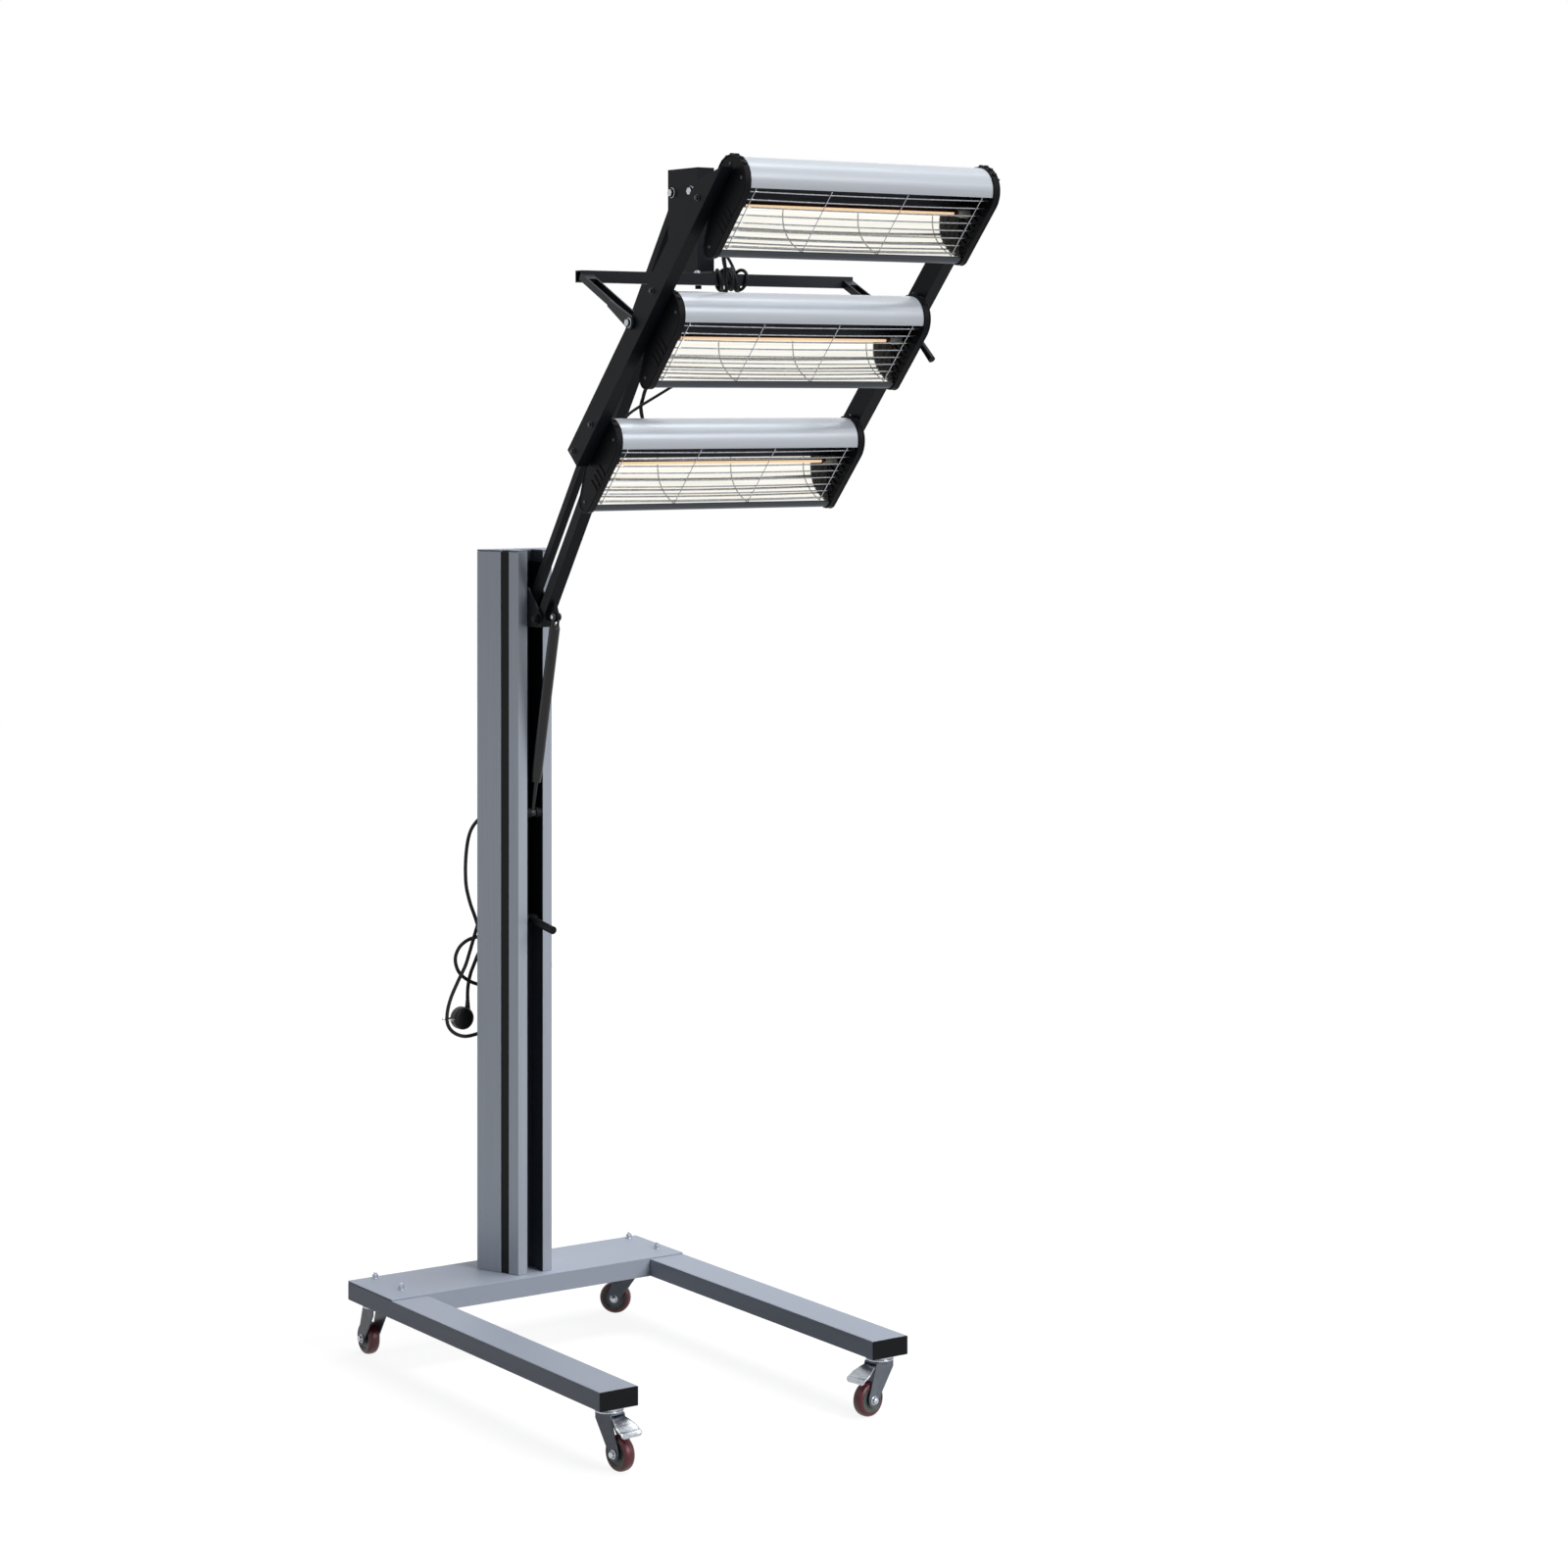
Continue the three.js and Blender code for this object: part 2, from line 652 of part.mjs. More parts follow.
function column() {
  const [low, high] = [trayTop + seatGap, columnTop];
  const [under, over] = [low - overrun, high + overrun];
  const spineHalf = channelWidth / 2 + columnWall;
  const spineEnd = columnFront + channelDepth + columnWall;
  const spine = block([-spineHalf, spineHalf], [columnFront, spineEnd], [under, over]);
  const backing = both(sidePatch(stripStart - columnWall, stripStart + stripWidth + columnWall,
    -overrun, stripGroove + columnWall), under, over);
  const rear = block([-panelWidth / 2 - columnWall, panelWidth / 2 + columnWall],
    [columnRear - panelRecess - columnWall, columnRear + overrun], [under, over]);
  const inside = cut(prism('z', taper(columnWall), under, over), spine, ...backing, rear);
  const grooves = both(sidePatch(stripStart, stripStart + stripWidth, -overrun, stripGroove), under, over);
  const recess = block([-panelWidth / 2 - seatGap, panelWidth / 2 + seatGap],
    [columnRear - panelRecess, columnRear + overrun], [under, over]);
  const window = block([-windowWidth / 2, windowWidth / 2],
    [columnRear - panelRecess - columnWall - overrun, columnRear],
    [columnTop - windowFromTop - windowHeight, columnTop - windowFromTop]);
  return cut(prism('z', taper(0), low, high), inside, prism('z', notch(0), under, over),
    ...grooves, recess, window);
}
function columnCap() {
  const [low, high] = [columnTop + seatGap, columnTop + seatGap + columnCapThickness];
  const grooves = both(sidePatch(stripStart, stripStart + stripWidth, -overrun, stripGroove),
    low - overrun, high + overrun);
  const slot = prism('z', notch(0), low - overrun, high + overrun);
  return cut(prism('z', taper(0), low, high), slot, ...grooves);
}
function strip(mirror) {
  const outline = sidePatch(stripStart + seatGap, stripStart + stripWidth - seatGap,
    stripSink, stripGroove - seatGap);
  return prism('z', mirror ? mirrored(outline) : outline, trayTop + seatGap, columnTop);
}
piece(lamp, 'column', 'aluminium', column());
piece(lamp, 'column_cap', 'greyPaint', columnCap());
piece(lamp, 'side_strip_left', 'rubber', strip(true));
piece(lamp, 'side_strip_right', 'rubber', strip(false));

// Control panel: one black plate with its screws and switch bezels
const screwRows = Math.floor((columnLength - screwFromTop - panelEnd) / screwPitch);
function panel() {
  const back = columnRear - panelRecess + seatGap;
  const plate = block([-panelWidth / 2, panelWidth / 2], [back, panelFace],
    [trayTop + panelEnd, columnTop - panelEnd]);
  const screws = [-1, 1].flatMap((side) => Array.from({ length: screwRows + 1 }, (_, row) => {
    const x = side * (panelWidth / 2 - screwInset);
    const z = columnTop - screwFromTop - row * screwPitch;
    return bar(screwRadius, [x, panelFace - weld, z], [x, panelFace + screwHeadHeight, z],
      smallSides, screwRadius * screwTopShare);
  }));
  const frames = switches.map(([, x, z, width]) => block([x - width / 2, x + width / 2],
    [panelFace - weld, panelFace + bezelDepth], [z - bezelHeight / 2, z + bezelHeight / 2]));
  const wells = switches.map(([, x, z, width]) => {
    const wide = width / 2 - bezelWall;
    const high = bezelHeight / 2 - bezelWall;
    return block([x - wide, x + wide], [back - overrun, panelFace + bezelDepth + overrun],
      [z - high, z + high]);
  });
  return cut(join(plate, ...screws, ...frames), ...wells);
}
const rockerZ = columnTop - rockersFromTop;
const switches = [
  ['lamp_rocker_1', rockerPitch, rockerZ, bezelWidth],
  ['lamp_rocker_2', 0, rockerZ, bezelWidth],
  ['lamp_rocker_3', -rockerPitch, rockerZ, bezelWidth],
  ['main_rocker', 0, columnTop - mainRockerFromTop, mainBezelWidth],
];
// A rocker is a shallow V seen from the side, tipped with its lower end out
function rocker(width) {
  const half = bezelHeight / 2 - bezelWall - seatGap * 3;
  const wide = width / 2 - bezelWall - seatGap;
  const outline = [[-rockerBody, -half / 2], [0, -half], [rockerRise, -half], [rockerRise / 2, 0],
    [rockerRise, half], [0, half], [-rockerBody, half / 2]];
  return prism('x', outline, -wide, wide);
}
piece(lamp, 'control_panel', 'blackPanel', panel());
for (const [name, x, z, width] of switches) {
  const hinge = body(lamp, `${name}_body`, x, panelFace + bezelDepth, z);
  hinge.rotation.x = rockerAngle * degree;
  piece(hinge, name, 'blackPlastic', rocker(width));
}
const knobFace = panelFace + seatGap;
function alongY(solid) {
  return solid.rotate([-90, 0, 0]);
}
function selector() {
  const skirt = turned([[0, 0], [selectorRadius, 0], [selectorRadius, selectorSkirt],
    [selectorRadius * selectorTopShare, selectorHeight - gripHeight], [0, selectorHeight - gripHeight]], 32);
  const gripReach = selectorRadius * selectorTopShare;
  const grip = block([-gripWidth / 2, gripWidth / 2], [-gripReach, gripReach],
    [selectorSkirt, selectorHeight]);
  return alongY(join(skirt, grip));
}
function thermostat() {
  const knobTop = knobRadius * knobTopShare;
  return alongY(turned([[0, 0], [knobRadius, 0], [knobTop, knobHeight], [knobCapRadius, knobHeight],
    [knobCapRadius, knobHeight + knobCapHeight], [0, knobHeight + knobCapHeight]], 32));
}
function dial() {
  return alongY(turned([[0, 0], [dialRadius, 0], [dialRadius, dialThickness], [0, dialThickness]], 32));
}
const selectorBody = body(lamp, 'selector_body', 0, knobFace, columnTop - selectorFromTop);
piece(selectorBody, 'selector_knob', 'blackPlastic', selector());
const dialPlace = body(lamp, 'dial_place', 0, knobFace, columnTop - thermostatFromTop);
piece(dialPlace, 'dial_ring', 'dial', dial());
const thermostatBody = body(lamp, 'thermostat_body', 0, knobFace + dialThickness + seatGap,
  columnTop - thermostatFromTop);
piece(thermostatBody, 'thermostat_knob', 'blackPlastic', thermostat());

// Carriage: a channel that slides in the column, with ears for the two arms
const carriage = body(lamp, 'carriage_body', 0, 0, 0);
function frame() {
  const wide = channelWidth / 2 - runClearance;
  const front = columnFront + slotLip + runClearance;
  const rear = columnFront + channelDepth - runClearance;
  const inner = wide - carriageSideWall;
  const skin = block([-wide, wide], [front, rear], [carriageEnd, carriageTop]);
  const hollow = block([-inner, inner], [front - overrun, rear - carriageWeb],
    [carriageEnd - overrun, carriageTop + overrun]);
  const linkY = armPivotY + pivotSpacing;
  const earOutline = [
    [rear - carriageWeb, armPivotZ - earRadius], [rear - carriageWeb, armPivotZ + earRise],
    [columnFront, armPivotZ + earRise],
    ...arc([armPivotY, armPivotZ], earRadius, 120, 270, 8),
  ].reverse();
  const ears = [-1, 1].map((side) => {
    const near = side * earGap / 2;
    const far = side * (earGap / 2 + earThickness);
    return prism('x', earOutline.slice().reverse(), ...sorted(near, far));
  });
  const fills = [-1, 1].map((side) => {
    const near = side * (earGap / 2 + earThickness - weld);
    const far = side * (inner + weld);
    return block(sorted(near, far), [front, rear - carriageWeb],
      [armPivotZ - earRadius, armPivotZ + earRise]);
  });
  const reach = earGap / 2 + weld;
  const pins = [armPivotY, linkY].map((y) => bar(pinRadius, [-reach, y, armPivotZ], [reach, y, armPivotZ]));
  const washers = [-1, 1].map((side) => {
    const near = side * (reach + earThickness - 2 * weld);
    const far = side * (reach + earThickness + screwHeadHeight);
    return bar(bossRadius, [near, armPivotY, armPivotZ], [far, armPivotY, armPivotZ], hexSides);
  });
  const cheeks = [-1, 1].map((side) => {
    const near = side * (gasEyeWidth / 2 + seatGap * 2);
    const far = side * (inner + weld);
    return prism('x', ringOf([anchorY, anchorZ], anchorRadius, smallSides), ...sorted(near, far));
  });
  const leverY = columnFront + leverSetback;
  const leverPin = bar(pinRadius, [-inner - weld, leverY, carriageEnd + leverAboveEnd],
    [inner + weld, leverY, carriageEnd + leverAboveEnd]);
  return join(cut(skin, hollow), ...ears, ...fills, ...pins, ...washers, ...cheeks, leverPin);
}
piece(carriage, 'carriage', 'blackPaint', frame());
const leverBody = body(carriage, 'lock_lever_body', 0, columnFront + leverSetback,
  carriageEnd + leverAboveEnd);
leverBody.rotation.x = leverDroop * degree;
function lockLever() {
  const half = channelWidth / 2 - runClearance - carriageSideWall - seatGap * 2;
  const barrel = bar(leverBarrelRadius, [-half, 0, 0], [half, 0, 0], roundSides);
  const handle = bar(leverRadius, [0, 0, 0], [0, -leverLength, 0], roundSides);
  const bore = bar(pinRadius + seatGap, [-half - overrun, 0, 0], [half + overrun, 0, 0]);
  return cut(join(barrel, handle), bore);
}
piece(leverBody, 'lock_lever', 'blackPlastic', lockLever());

// Arms: both turn on the carriage and on the head bracket, so the bracket stays upright
function squareTube(size, wall, low, high) {
  const half = size / 2;
  const inner = half - wall;
  return cut(block([-half, half], [-half, half], [low, high]),
    block([-inner, inner], [-inner, inner], [low - overrun, high + overrun]));
}
function bores(size, length) {
  return [0, length].map((z) => bar(pinRadius + seatGap, [-size, 0, z], [size, 0, z]));
}
function inArm(dy, dz) {
  const [c, d] = [Math.cos(armAngle), Math.sin(armAngle)];
  return [dy * c + dz * d, dz * c - dy * d];
}
const lugLocal = inArm(-lugReach, lugRise);
function mainArm() {
  const tubeSkin = squareTube(armTube, armTubeWall, -armEnd, armLength + armEnd);
  const [ly, lz] = lugLocal;
  const root = armTubeWall / 2 - armTube / 2;
  const outline = [[root, lz + lugRadius * lugRootShare], [root, lz - lugRadius * lugRootShare],
    ...arc([ly, lz], lugRadius, 240, 120, 8)];
  const lug = cut(prism('x', outline.reverse(), -lugThickness / 2, lugThickness / 2),
    bar(lugPinRadius + seatGap, [-lugThickness, ly, lz], [lugThickness, ly, lz]));
  return cut(join(tubeSkin, lug), ...bores(armTube, armLength));
}
function link() {
  const skin = squareTube(linkTube, linkTubeWall, -linkEnd, armLength + linkEnd);
  return cut(skin, ...bores(linkTube, armLength));
}
const arm = body(carriage, 'main_arm_body', 0, armPivotY, armPivotZ);
arm.rotation.x = armAngle;
piece(arm, 'main_arm', 'blackPaint', mainArm());
const linkBody = body(carriage, 'link_arm_body', 0, armPivotY + pivotSpacing, armPivotZ);
linkBody.rotation.x = armAngle;
piece(linkBody, 'link_arm', 'blackPaint', link());

// Gas spring: the cylinder hangs on the lug, and its rod reaches down to the carriage
const spring = body(carriage, 'spring_body', 0, lugY, lugZ);
spring.rotation.x = springAngle;
function cylinder() {
  const top = -cylinderStart;
  const bottom = top - cylinderLength;
  const half = lugThickness / 2 + seatGap;
  const skin = turned([[0, bottom], [cylinderRadius - 2 * weld, bottom], [cylinderRadius, bottom + 2 * weld],
    [cylinderRadius, top - 2 * weld], [cylinderRadius - 2 * weld, top], [0, top]]);
  const boreEnd = bottom + gasRodInside + gasRodStroke;
  const bore = bar(gasRodRadius + seatGap, [0, 0, bottom - overrun], [0, 0, boreEnd]);
  const cheeks = [-1, 1].map((side) => {
    const near = side * half;
    const far = side * (half + cheekThickness);
    const outline = [...arc([0, 0], eyeRadius, 0, 180, 8), [-eyeRadius, top - weld], [eyeRadius, top - weld]];
    return prism('x', outline, ...sorted(near, far));
  });
  const pin = bar(lugPinRadius, [-half - cheekThickness - screwHeadHeight, 0, 0],
    [half + cheekThickness + screwHeadHeight, 0, 0]);
  return join(cut(skin, bore), ...cheeks, pin);
}
function gasRod() {
  const start = -cylinderStart - cylinderLength + gasRodInside;
  const rod = bar(gasRodRadius, [0, 0, start], [0, 0, -springLength + weld]);
  const eye = prism('x', ringOf([0, -springLength], gasEyeRadius, smallSides),
    -gasEyeWidth / 2, gasEyeWidth / 2);
  return join(rod, eye);
}
piece(spring, 'spring_cylinder', 'blackPaint', cylinder());
piece(spring, 'spring_rod', 'steel', gasRod());

// Head bracket
const bracket = body(carriage, 'bracket_body', 0, topPivotY, topPivotZ);
function headBracket() {
  const half = bracketWidth / 2;
  const inner = half - bracketWall;
  const front = -bracketFrontAhead;
  const rear = front + bracketDepth;
  const top = bracketTopAbovePivot;
  const foot = top - bracketHeight;
  const skin = block([-half, half], [front, rear], [foot, top]);
  const hollow = block([-inner, inner], [front + bracketWall, rear + overrun],
    [foot - overrun, top - bracketWall]);
  const sole = block([-inner - weld, inner + weld], [front + bracketWall - weld, front + footDepth],
    [foot, foot + footThickness]);
  const pins = [0, pivotSpacing].map((y) => bar(pinRadius, [-inner - weld, y, 0], [inner + weld, y, 0]));
  const heads = [0, pivotSpacing].flatMap((y) => [-1, 1].map((side) => bar(bossRadius,
    [side * (half - weld), y, 0], [side * (half + axleHeadLength), y, 0], hexSides)));
  const headTop = foot + footThickness + swivelHeadHeight;
  const plateFoot = foot - swivelPlateThickness - weld - 2 * seatGap;
  const nutFoot = plateFoot - swivelNutHeight;
  const onBolt = (radius, from, to, sides) => bar(radius,
    [0, swivelAhead, from], [0, swivelAhead, to], sides);
  const bolt = join(
    onBolt(swivelHeadRadius, foot + footThickness - weld, headTop, hexSides),
    onBolt(swivelBoltRadius, foot + weld, nutFoot - swivelTail, smallSides),
    onBolt(swivelNutRadius, plateFoot, nutFoot, hexSides));
  return join(cut(skin, hollow), sole, ...pins, ...heads, bolt);
}
piece(bracket, 'head_bracket', 'blackPaint', headBracket());

// Yoke: it swivels on the bolt, and its struts carry the tilt pins
const yokeBody = body(bracket, 'yoke_body', 0, swivelAhead, bracketFoot - topPivotZ);
function yoke() {
  const y = -yokeAhead;
  const z = barZ - bracketFoot;
  const half = yokeTube / 2;
  const inner = half - yokeTubeWall;
  const crossBar = cut(block([-yokeHalf, yokeHalf], [y - half, y + half], [z - half, z + half]),
    block([-yokeHalf - overrun, yokeHalf + overrun], [y - inner, y + inner], [z - inner, z + inner]));
  const plate = cut(
    block([-swivelPlateWidth / 2, swivelPlateWidth / 2], [y - half, swivelPlateTail],
      [z + half - weld, z + half + swivelPlateThickness]),
    bar(swivelBoltRadius + seatGap, [0, 0, z], [0, 0, 0]));
  const tip = [y - tiltReach, z - tiltDrop];
  const slope = Math.atan2(tiltDrop, tiltReach - half);
  const along = [-Math.cos(slope), -Math.sin(slope)];
  const across = [-along[1], along[0]];
  const start = [y - half + strutThickness / 2, z];
  const stop = [tip[0] - along[0] * strutStop, tip[1] - along[1] * strutStop];
  const at = (base, side) => [base[0] + across[0] * side, base[1] + across[1] * side];
  const quad = (a, b, side) => [at(a, -side), at(b, -side), at(b, side), at(a, side)];
  const t = strutThickness / 2;
  const arms = [-1, 1].flatMap((side) => {
    const low = Math.min(side * yokeHalf, side * (yokeHalf - strutWidth));
    const high = low + strutWidth;
    const skin = prism('x', quad(start, stop, t), low, high);
    const mouthStart = [start[0] + along[0] * strutWidth, start[1] + along[1] * strutWidth];
    const mouthStop = [stop[0] + along[0] * overrun, stop[1] + along[1] * overrun];
    const mouth = prism('x', [at(mouthStart, -t - overrun), at(mouthStop, -t - overrun),
      at(mouthStop, t - strutWall), at(mouthStart, t - strutWall)], low + strutWall, high - strutWall);
    const face = side * (yokeHalf - weld);
    const far = side * (yokeHalf + earPlate);
    const turn = Math.atan2(across[1], across[0]) / degree;
    const root = [stop[0] - along[0] * strutWidth * 2, stop[1] - along[1] * strutWidth * 2];
    const rim = arc(tip, earPlateRadius, turn + 180, turn + 360, 8);
    const ear = prism('x', [at(root, -t), ...rim, at(root, t)], ...sorted(face, far));
    const pin = bar(tiltPinRadius, [face, ...tip], [side * (yokeHalf - tiltPinInside), ...tip]);
    const parts = [cut(skin, mouth), ear, pin];
    if (side < 0) {
      parts.push(bar(tiltHeadRadius, [far + weld, ...tip], [far - tiltHeadLength, ...tip], hexSides));
    } else {
      parts.push(bar(tiltPinRadius, [face, ...tip], [far + clampHubLength / 2, ...tip]));
    }
    return parts;
  });
  return join(crossBar, plate, ...arms);
}
piece(yokeBody, 'yoke', 'blackPaint', yoke());

// Tilt clamp lever on the right end of the tilt axis
const tiltLocal = [0, tiltY - swivelY, tiltZ - bracketFoot];
const clampX = yokeHalf + earPlate + seatGap;
const clampBody = body(yokeBody, 'tilt_lever_body', clampX, tiltLocal[1], tiltLocal[2]);
clampBody.rotation.x = headLean * degree;
function tiltLever() {
  const hub = bar(clampHubRadius, [0, 0, 0], [clampHubLength, 0, 0], roundSides);
  const mid = clampHubLength / 2;
  const tip = clampRadius * clampTipShare;
  const handle = bar(clampRadius, [mid, 0, 0], [mid, -clampLength, 0], smallSides, tip);
  const bore = bar(tiltPinRadius + seatGap, [-overrun, 0, 0], [clampHubLength / 2 + seatGap, 0, 0]);
  return cut(join(hub, handle), bore);
}
piece(clampBody, 'tilt_lever', 'blackPlastic', tiltLever());

// Head: its own frame has Y pointing out of the back and Z up along the rails
const head = body(yokeBody, 'head_body', 0, tiltLocal[1], tiltLocal[2]);
head.rotation.x = headLean * degree;
const railBack = pivotInRail;
const railFront = railBack - railDepth;
function rail(side) {
  const low = Math.min(side * railInner, side * railOuter);
  const high = low + railWidth;
  const skin = prism('x', [[railFront, -railDown], [railBack, -railDown], [railBack, railUpRear],
    [railFront, railUp]], low, high);
  const hollow = block([low + railWall, high - railWall], [railFront + railWall, railBack - railWall],
    [-railDown - overrun, railUp + overrun]);
  const bore = bar(tiltPinRadius + seatGap, [low - overrun, 0, 0], [high + overrun, 0, 0]);
  const heads = railBoltSpots.map(([ahead, up]) => bar(railBoltRadius,
    [side * (railOuter - weld), -ahead, up], [side * (railOuter + railBoltLength), -ahead, up], hexSides));
  return join(cut(skin, hollow, bore), ...heads);
}
const cassetteCentres = [-1, 0, 1].map((row) => row * cassettePitch - cassetteShift);
piece(head, 'rail_left', 'blackPaint', rail(-1));
piece(head, 'rail_right', 'blackPaint', rail(1));

// A cassette's outline: two circles and their common rear tangent, as back and up
function outlineOf(grow, steps) {
  const r1 = topCircleRadius + grow;
  const r2 = footCircleRadius + grow;
  const db = topCircleBack - footCircleBack;
  const du = topCircleUp + footCircleDown;
  const lean = Math.atan2(db, du) / degree;
  const open = Math.asin((r1 - r2) / Math.hypot(db, du)) / degree;
  const rearAngle = -lean - open;
  return [
    ...arc([topCircleBack, topCircleUp], r1, rearAngle, 180, steps),
    ...arc([footCircleBack, -footCircleDown], r2, 180, 360 + rearAngle, Math.round(steps / 2)),
  ];
}
function cassetteShell() {
  const outer = prism('x', outlineOf(0, 14), -cassetteHalf, cassetteHalf);
  const inner = prism('x', outlineOf(-shellWall, 14), -cassetteHalf - overrun, cassetteHalf + overrun);
  const mouth = block([-cassetteHalf - overrun, cassetteHalf + overrun],
    [topCircleBack - topCircleRadius - overrun, footCircleBack], [-mouthDown, mouthUp]);
  return cut(outer, inner, mouth);
}
function endPlate(side) {
  const near = side * (cassetteHalf + seatGap);
  const far = near + side * plateThickness;
  const skin = prism('x', outlineOf(plateLip, 14), ...sorted(near, far));
  const bossEnd = side * (railInner - seatGap);
  const bossBack = cassetteBoltBack - plateBossRadius / 2;
  const boss = bar(plateBossRadius, [far - side * weld, bossBack, topCircleUp],
    [bossEnd, bossBack, topCircleUp]);
  const vents = Array.from({ length: ventCount }, (_, i) => {
    const up = topCircleUp - topCircleRadius - i * ventPitch;
    return block(sorted(far - side * weld, far + side * ventRise), [0, ventLength],
      [up - ventWidth / 2, up + ventWidth / 2]);
  });
  return join(skin, boss, ...vents);
}
function lampTube() {
  const end = cassetteHalf;
  const glassEnd = end - ceramicLength + weld;
  const glass = bar(lampRadius, [-glassEnd, lampBack, lampUp], [glassEnd, lampBack, lampUp], roundSides);
  const caps = [-1, 1].map((side) => bar(ceramicRadius, [side * end, lampBack, lampUp],
    [side * (end - ceramicLength), lampBack, lampUp]));
  return join(glass, ...caps);
}
function guard() {
  const end = cassetteHalf;
  const spread = guardUp + guardDown;
  const wires = Array.from({ length: guardWires }, (_, i) => {
    const up = guardUp - spread * i / (guardWires - 1);
    return bar(guardWireRadius, [-end, guardBack, up], [end, guardBack, up], guardSides);
  });
  const front = guardBack - guardWireRadius;
  const crossWires = crossWireShares.map((share) => bar(crossWireRadius,
    [share * end, front, guardUp + guardWireRadius], [share * end, front, -guardDown - guardWireRadius],
    guardSides));
  return join(...wires, ...crossWires);
}
['low', 'middle', 'top'].forEach((label, row) => {
  const seat = body(head, `cassette_${label}`, 0, -cassetteAhead, cassetteCentres[row]);
  piece(seat, `cassette_shell_${label}`, 'satinAluminium', cassetteShell());
  piece(seat, `end_plate_${label}_left`, 'blackPlastic', endPlate(-1));
  piece(seat, `end_plate_${label}_right`, 'blackPlastic', endPlate(1));
  piece(seat, `lamp_tube_${label}`, 'lampGlass', lampTube());
  piece(seat, `wire_guard_${label}`, 'wire', guard());
});
piece(head, 'lamp_wiring', 'rubber', tube(wireRoute, wireRadius, leadSides, 48));

// Mains cord: gland and hook on the panel, free lead, coil on the hook, tail and plug
const cordPlace = body(lamp, 'cord_place', 0, columnRear, trayTop);
const faceBack = panelFace - columnRear + seatGap;
function gland() {
  const at = (back) => [glandX, faceBack + back, glandHeight];
  const nut = bar(glandNutRadius, at(0), at(glandNutLength), hexSides);
  const tip = cordRadius * glandTipShare;
  const neck = bar(glandRadius, at(glandNutLength - weld), at(glandLength), roundSides, tip);
  return join(nut, neck);
}
function hook() {
  const plate = block([hookX - hookPlateHalf, hookX + hookPlateHalf], [faceBack, faceBack + hookPlate],
    [hookHeight - hookPlateHalf, hookHeight + hookPlateHalf]);
  const at = (back, rise) => [hookX, faceBack + back, hookHeight + rise];
  const prong = tube([at(hookPlate / 2, 0), at(hookReach / 2, 0), at(hookReach - hookRadius, 0),
    at(hookReach, hookRise / 4), at(hookReach, hookRise)], hookRadius, leadSides, smallSides);
  return join(plate, prong);
}
// The coil winds in for some turns, climbs one layer in half a turn, and winds out again
function coilCentre(turn) {
  const layer = Math.min(Math.max(turn - coilTurns, 0) / coilClimb, 1);
  const inward = Math.min(turn, coilTurns);
  const outward = Math.max(turn - coilTurns - coilClimb, 0);
  const radius = coilOuter - coilPitch * (inward - outward);
  const angle = (coilStart + 360 * turn) * degree;
  const [across, up] = [radius * Math.cos(angle), radius * Math.sin(angle)];
  return [coilX + across, coilBehind + coilLayerGap * layer, coilHeight + up];
}
const coilTotal = coilTurns * 2 + (coilEnd + 360 - coilStart) / 360;
function coilPoints() {
  const count = Math.round(coilTotal * coilStepsPerTurn);
  const points = Array.from({ length: count + 1 }, (_, i) => coilCentre(i * coilTotal / count));
  const stub = 2 * cordRadius;
  const [fx, fy, fz] = points[0];
  const [lx, ly, lz] = points[count];
  const leaving = (coilEnd + 90) * degree;
  return [[fx, fy, fz + stub], ...points, [lx + stub * Math.cos(leaving), ly, lz + stub * Math.sin(leaving)]];
}
function sweep(points, radius, sides) {
  const centres = points.map((p) => new THREE.Vector3(...p));
  const positions = [];
  const indices = [];
  centres.forEach((centre, i) => {
    const before = centres[Math.max(i - 1, 0)];
    const after = centres[Math.min(i + 1, centres.length - 1)];
    const ahead = after.clone().sub(before).normalize();
    const side = new THREE.Vector3(0, 1, 0).cross(ahead).normalize();
    const up = ahead.clone().cross(side).normalize();
    for (let k = 0; k < sides; k += 1) {
      const angle = 2 * Math.PI * (k + 0.5) / sides;
      const spot = centre.clone();
      spot.addScaledVector(side, radius * Math.cos(angle));
      spot.addScaledVector(up, radius * Math.sin(angle));
      positions.push(spot.x, spot.y, spot.z);
    }
  });
  for (let i = 0; i < centres.length - 1; i += 1) {
    for (let k = 0; k < sides; k += 1) {
      const [a, b] = [i * sides + k, i * sides + (k + 1) % sides];
      indices.push(a, b, a + sides, b, b + sides, a + sides);
    }
  }
  const last = (centres.length - 1) * sides;
  for (let k = 1; k < sides - 1; k += 1) {
    indices.push(0, k + 1, k, last, last + k, last + k + 1);
  }
  const geometry = new THREE.BufferGeometry();
  geometry.setAttribute('position', new THREE.BufferAttribute(new Float32Array(positions), 3));
  geometry.setIndex(indices);
  return geometry;
}
const coilLine = coilPoints();
function leastGap(points, radius, skip) {
  let least = Infinity;
  for (let i = 0; i < points.length; i += 1) {
    for (let j = i + skip; j < points.length; j += 1) {
      least = Math.min(least, Math.hypot(...points[i].map((v, k) => v - points[j][k])));
    }
  }
  return least - 2 * radius;
}
const coilGap = leastGap(coilLine, cordRadius, coilStepsPerTurn / 2);
console.log(`coil: least gap to itself ${coilGap.toFixed(2)} mm`);
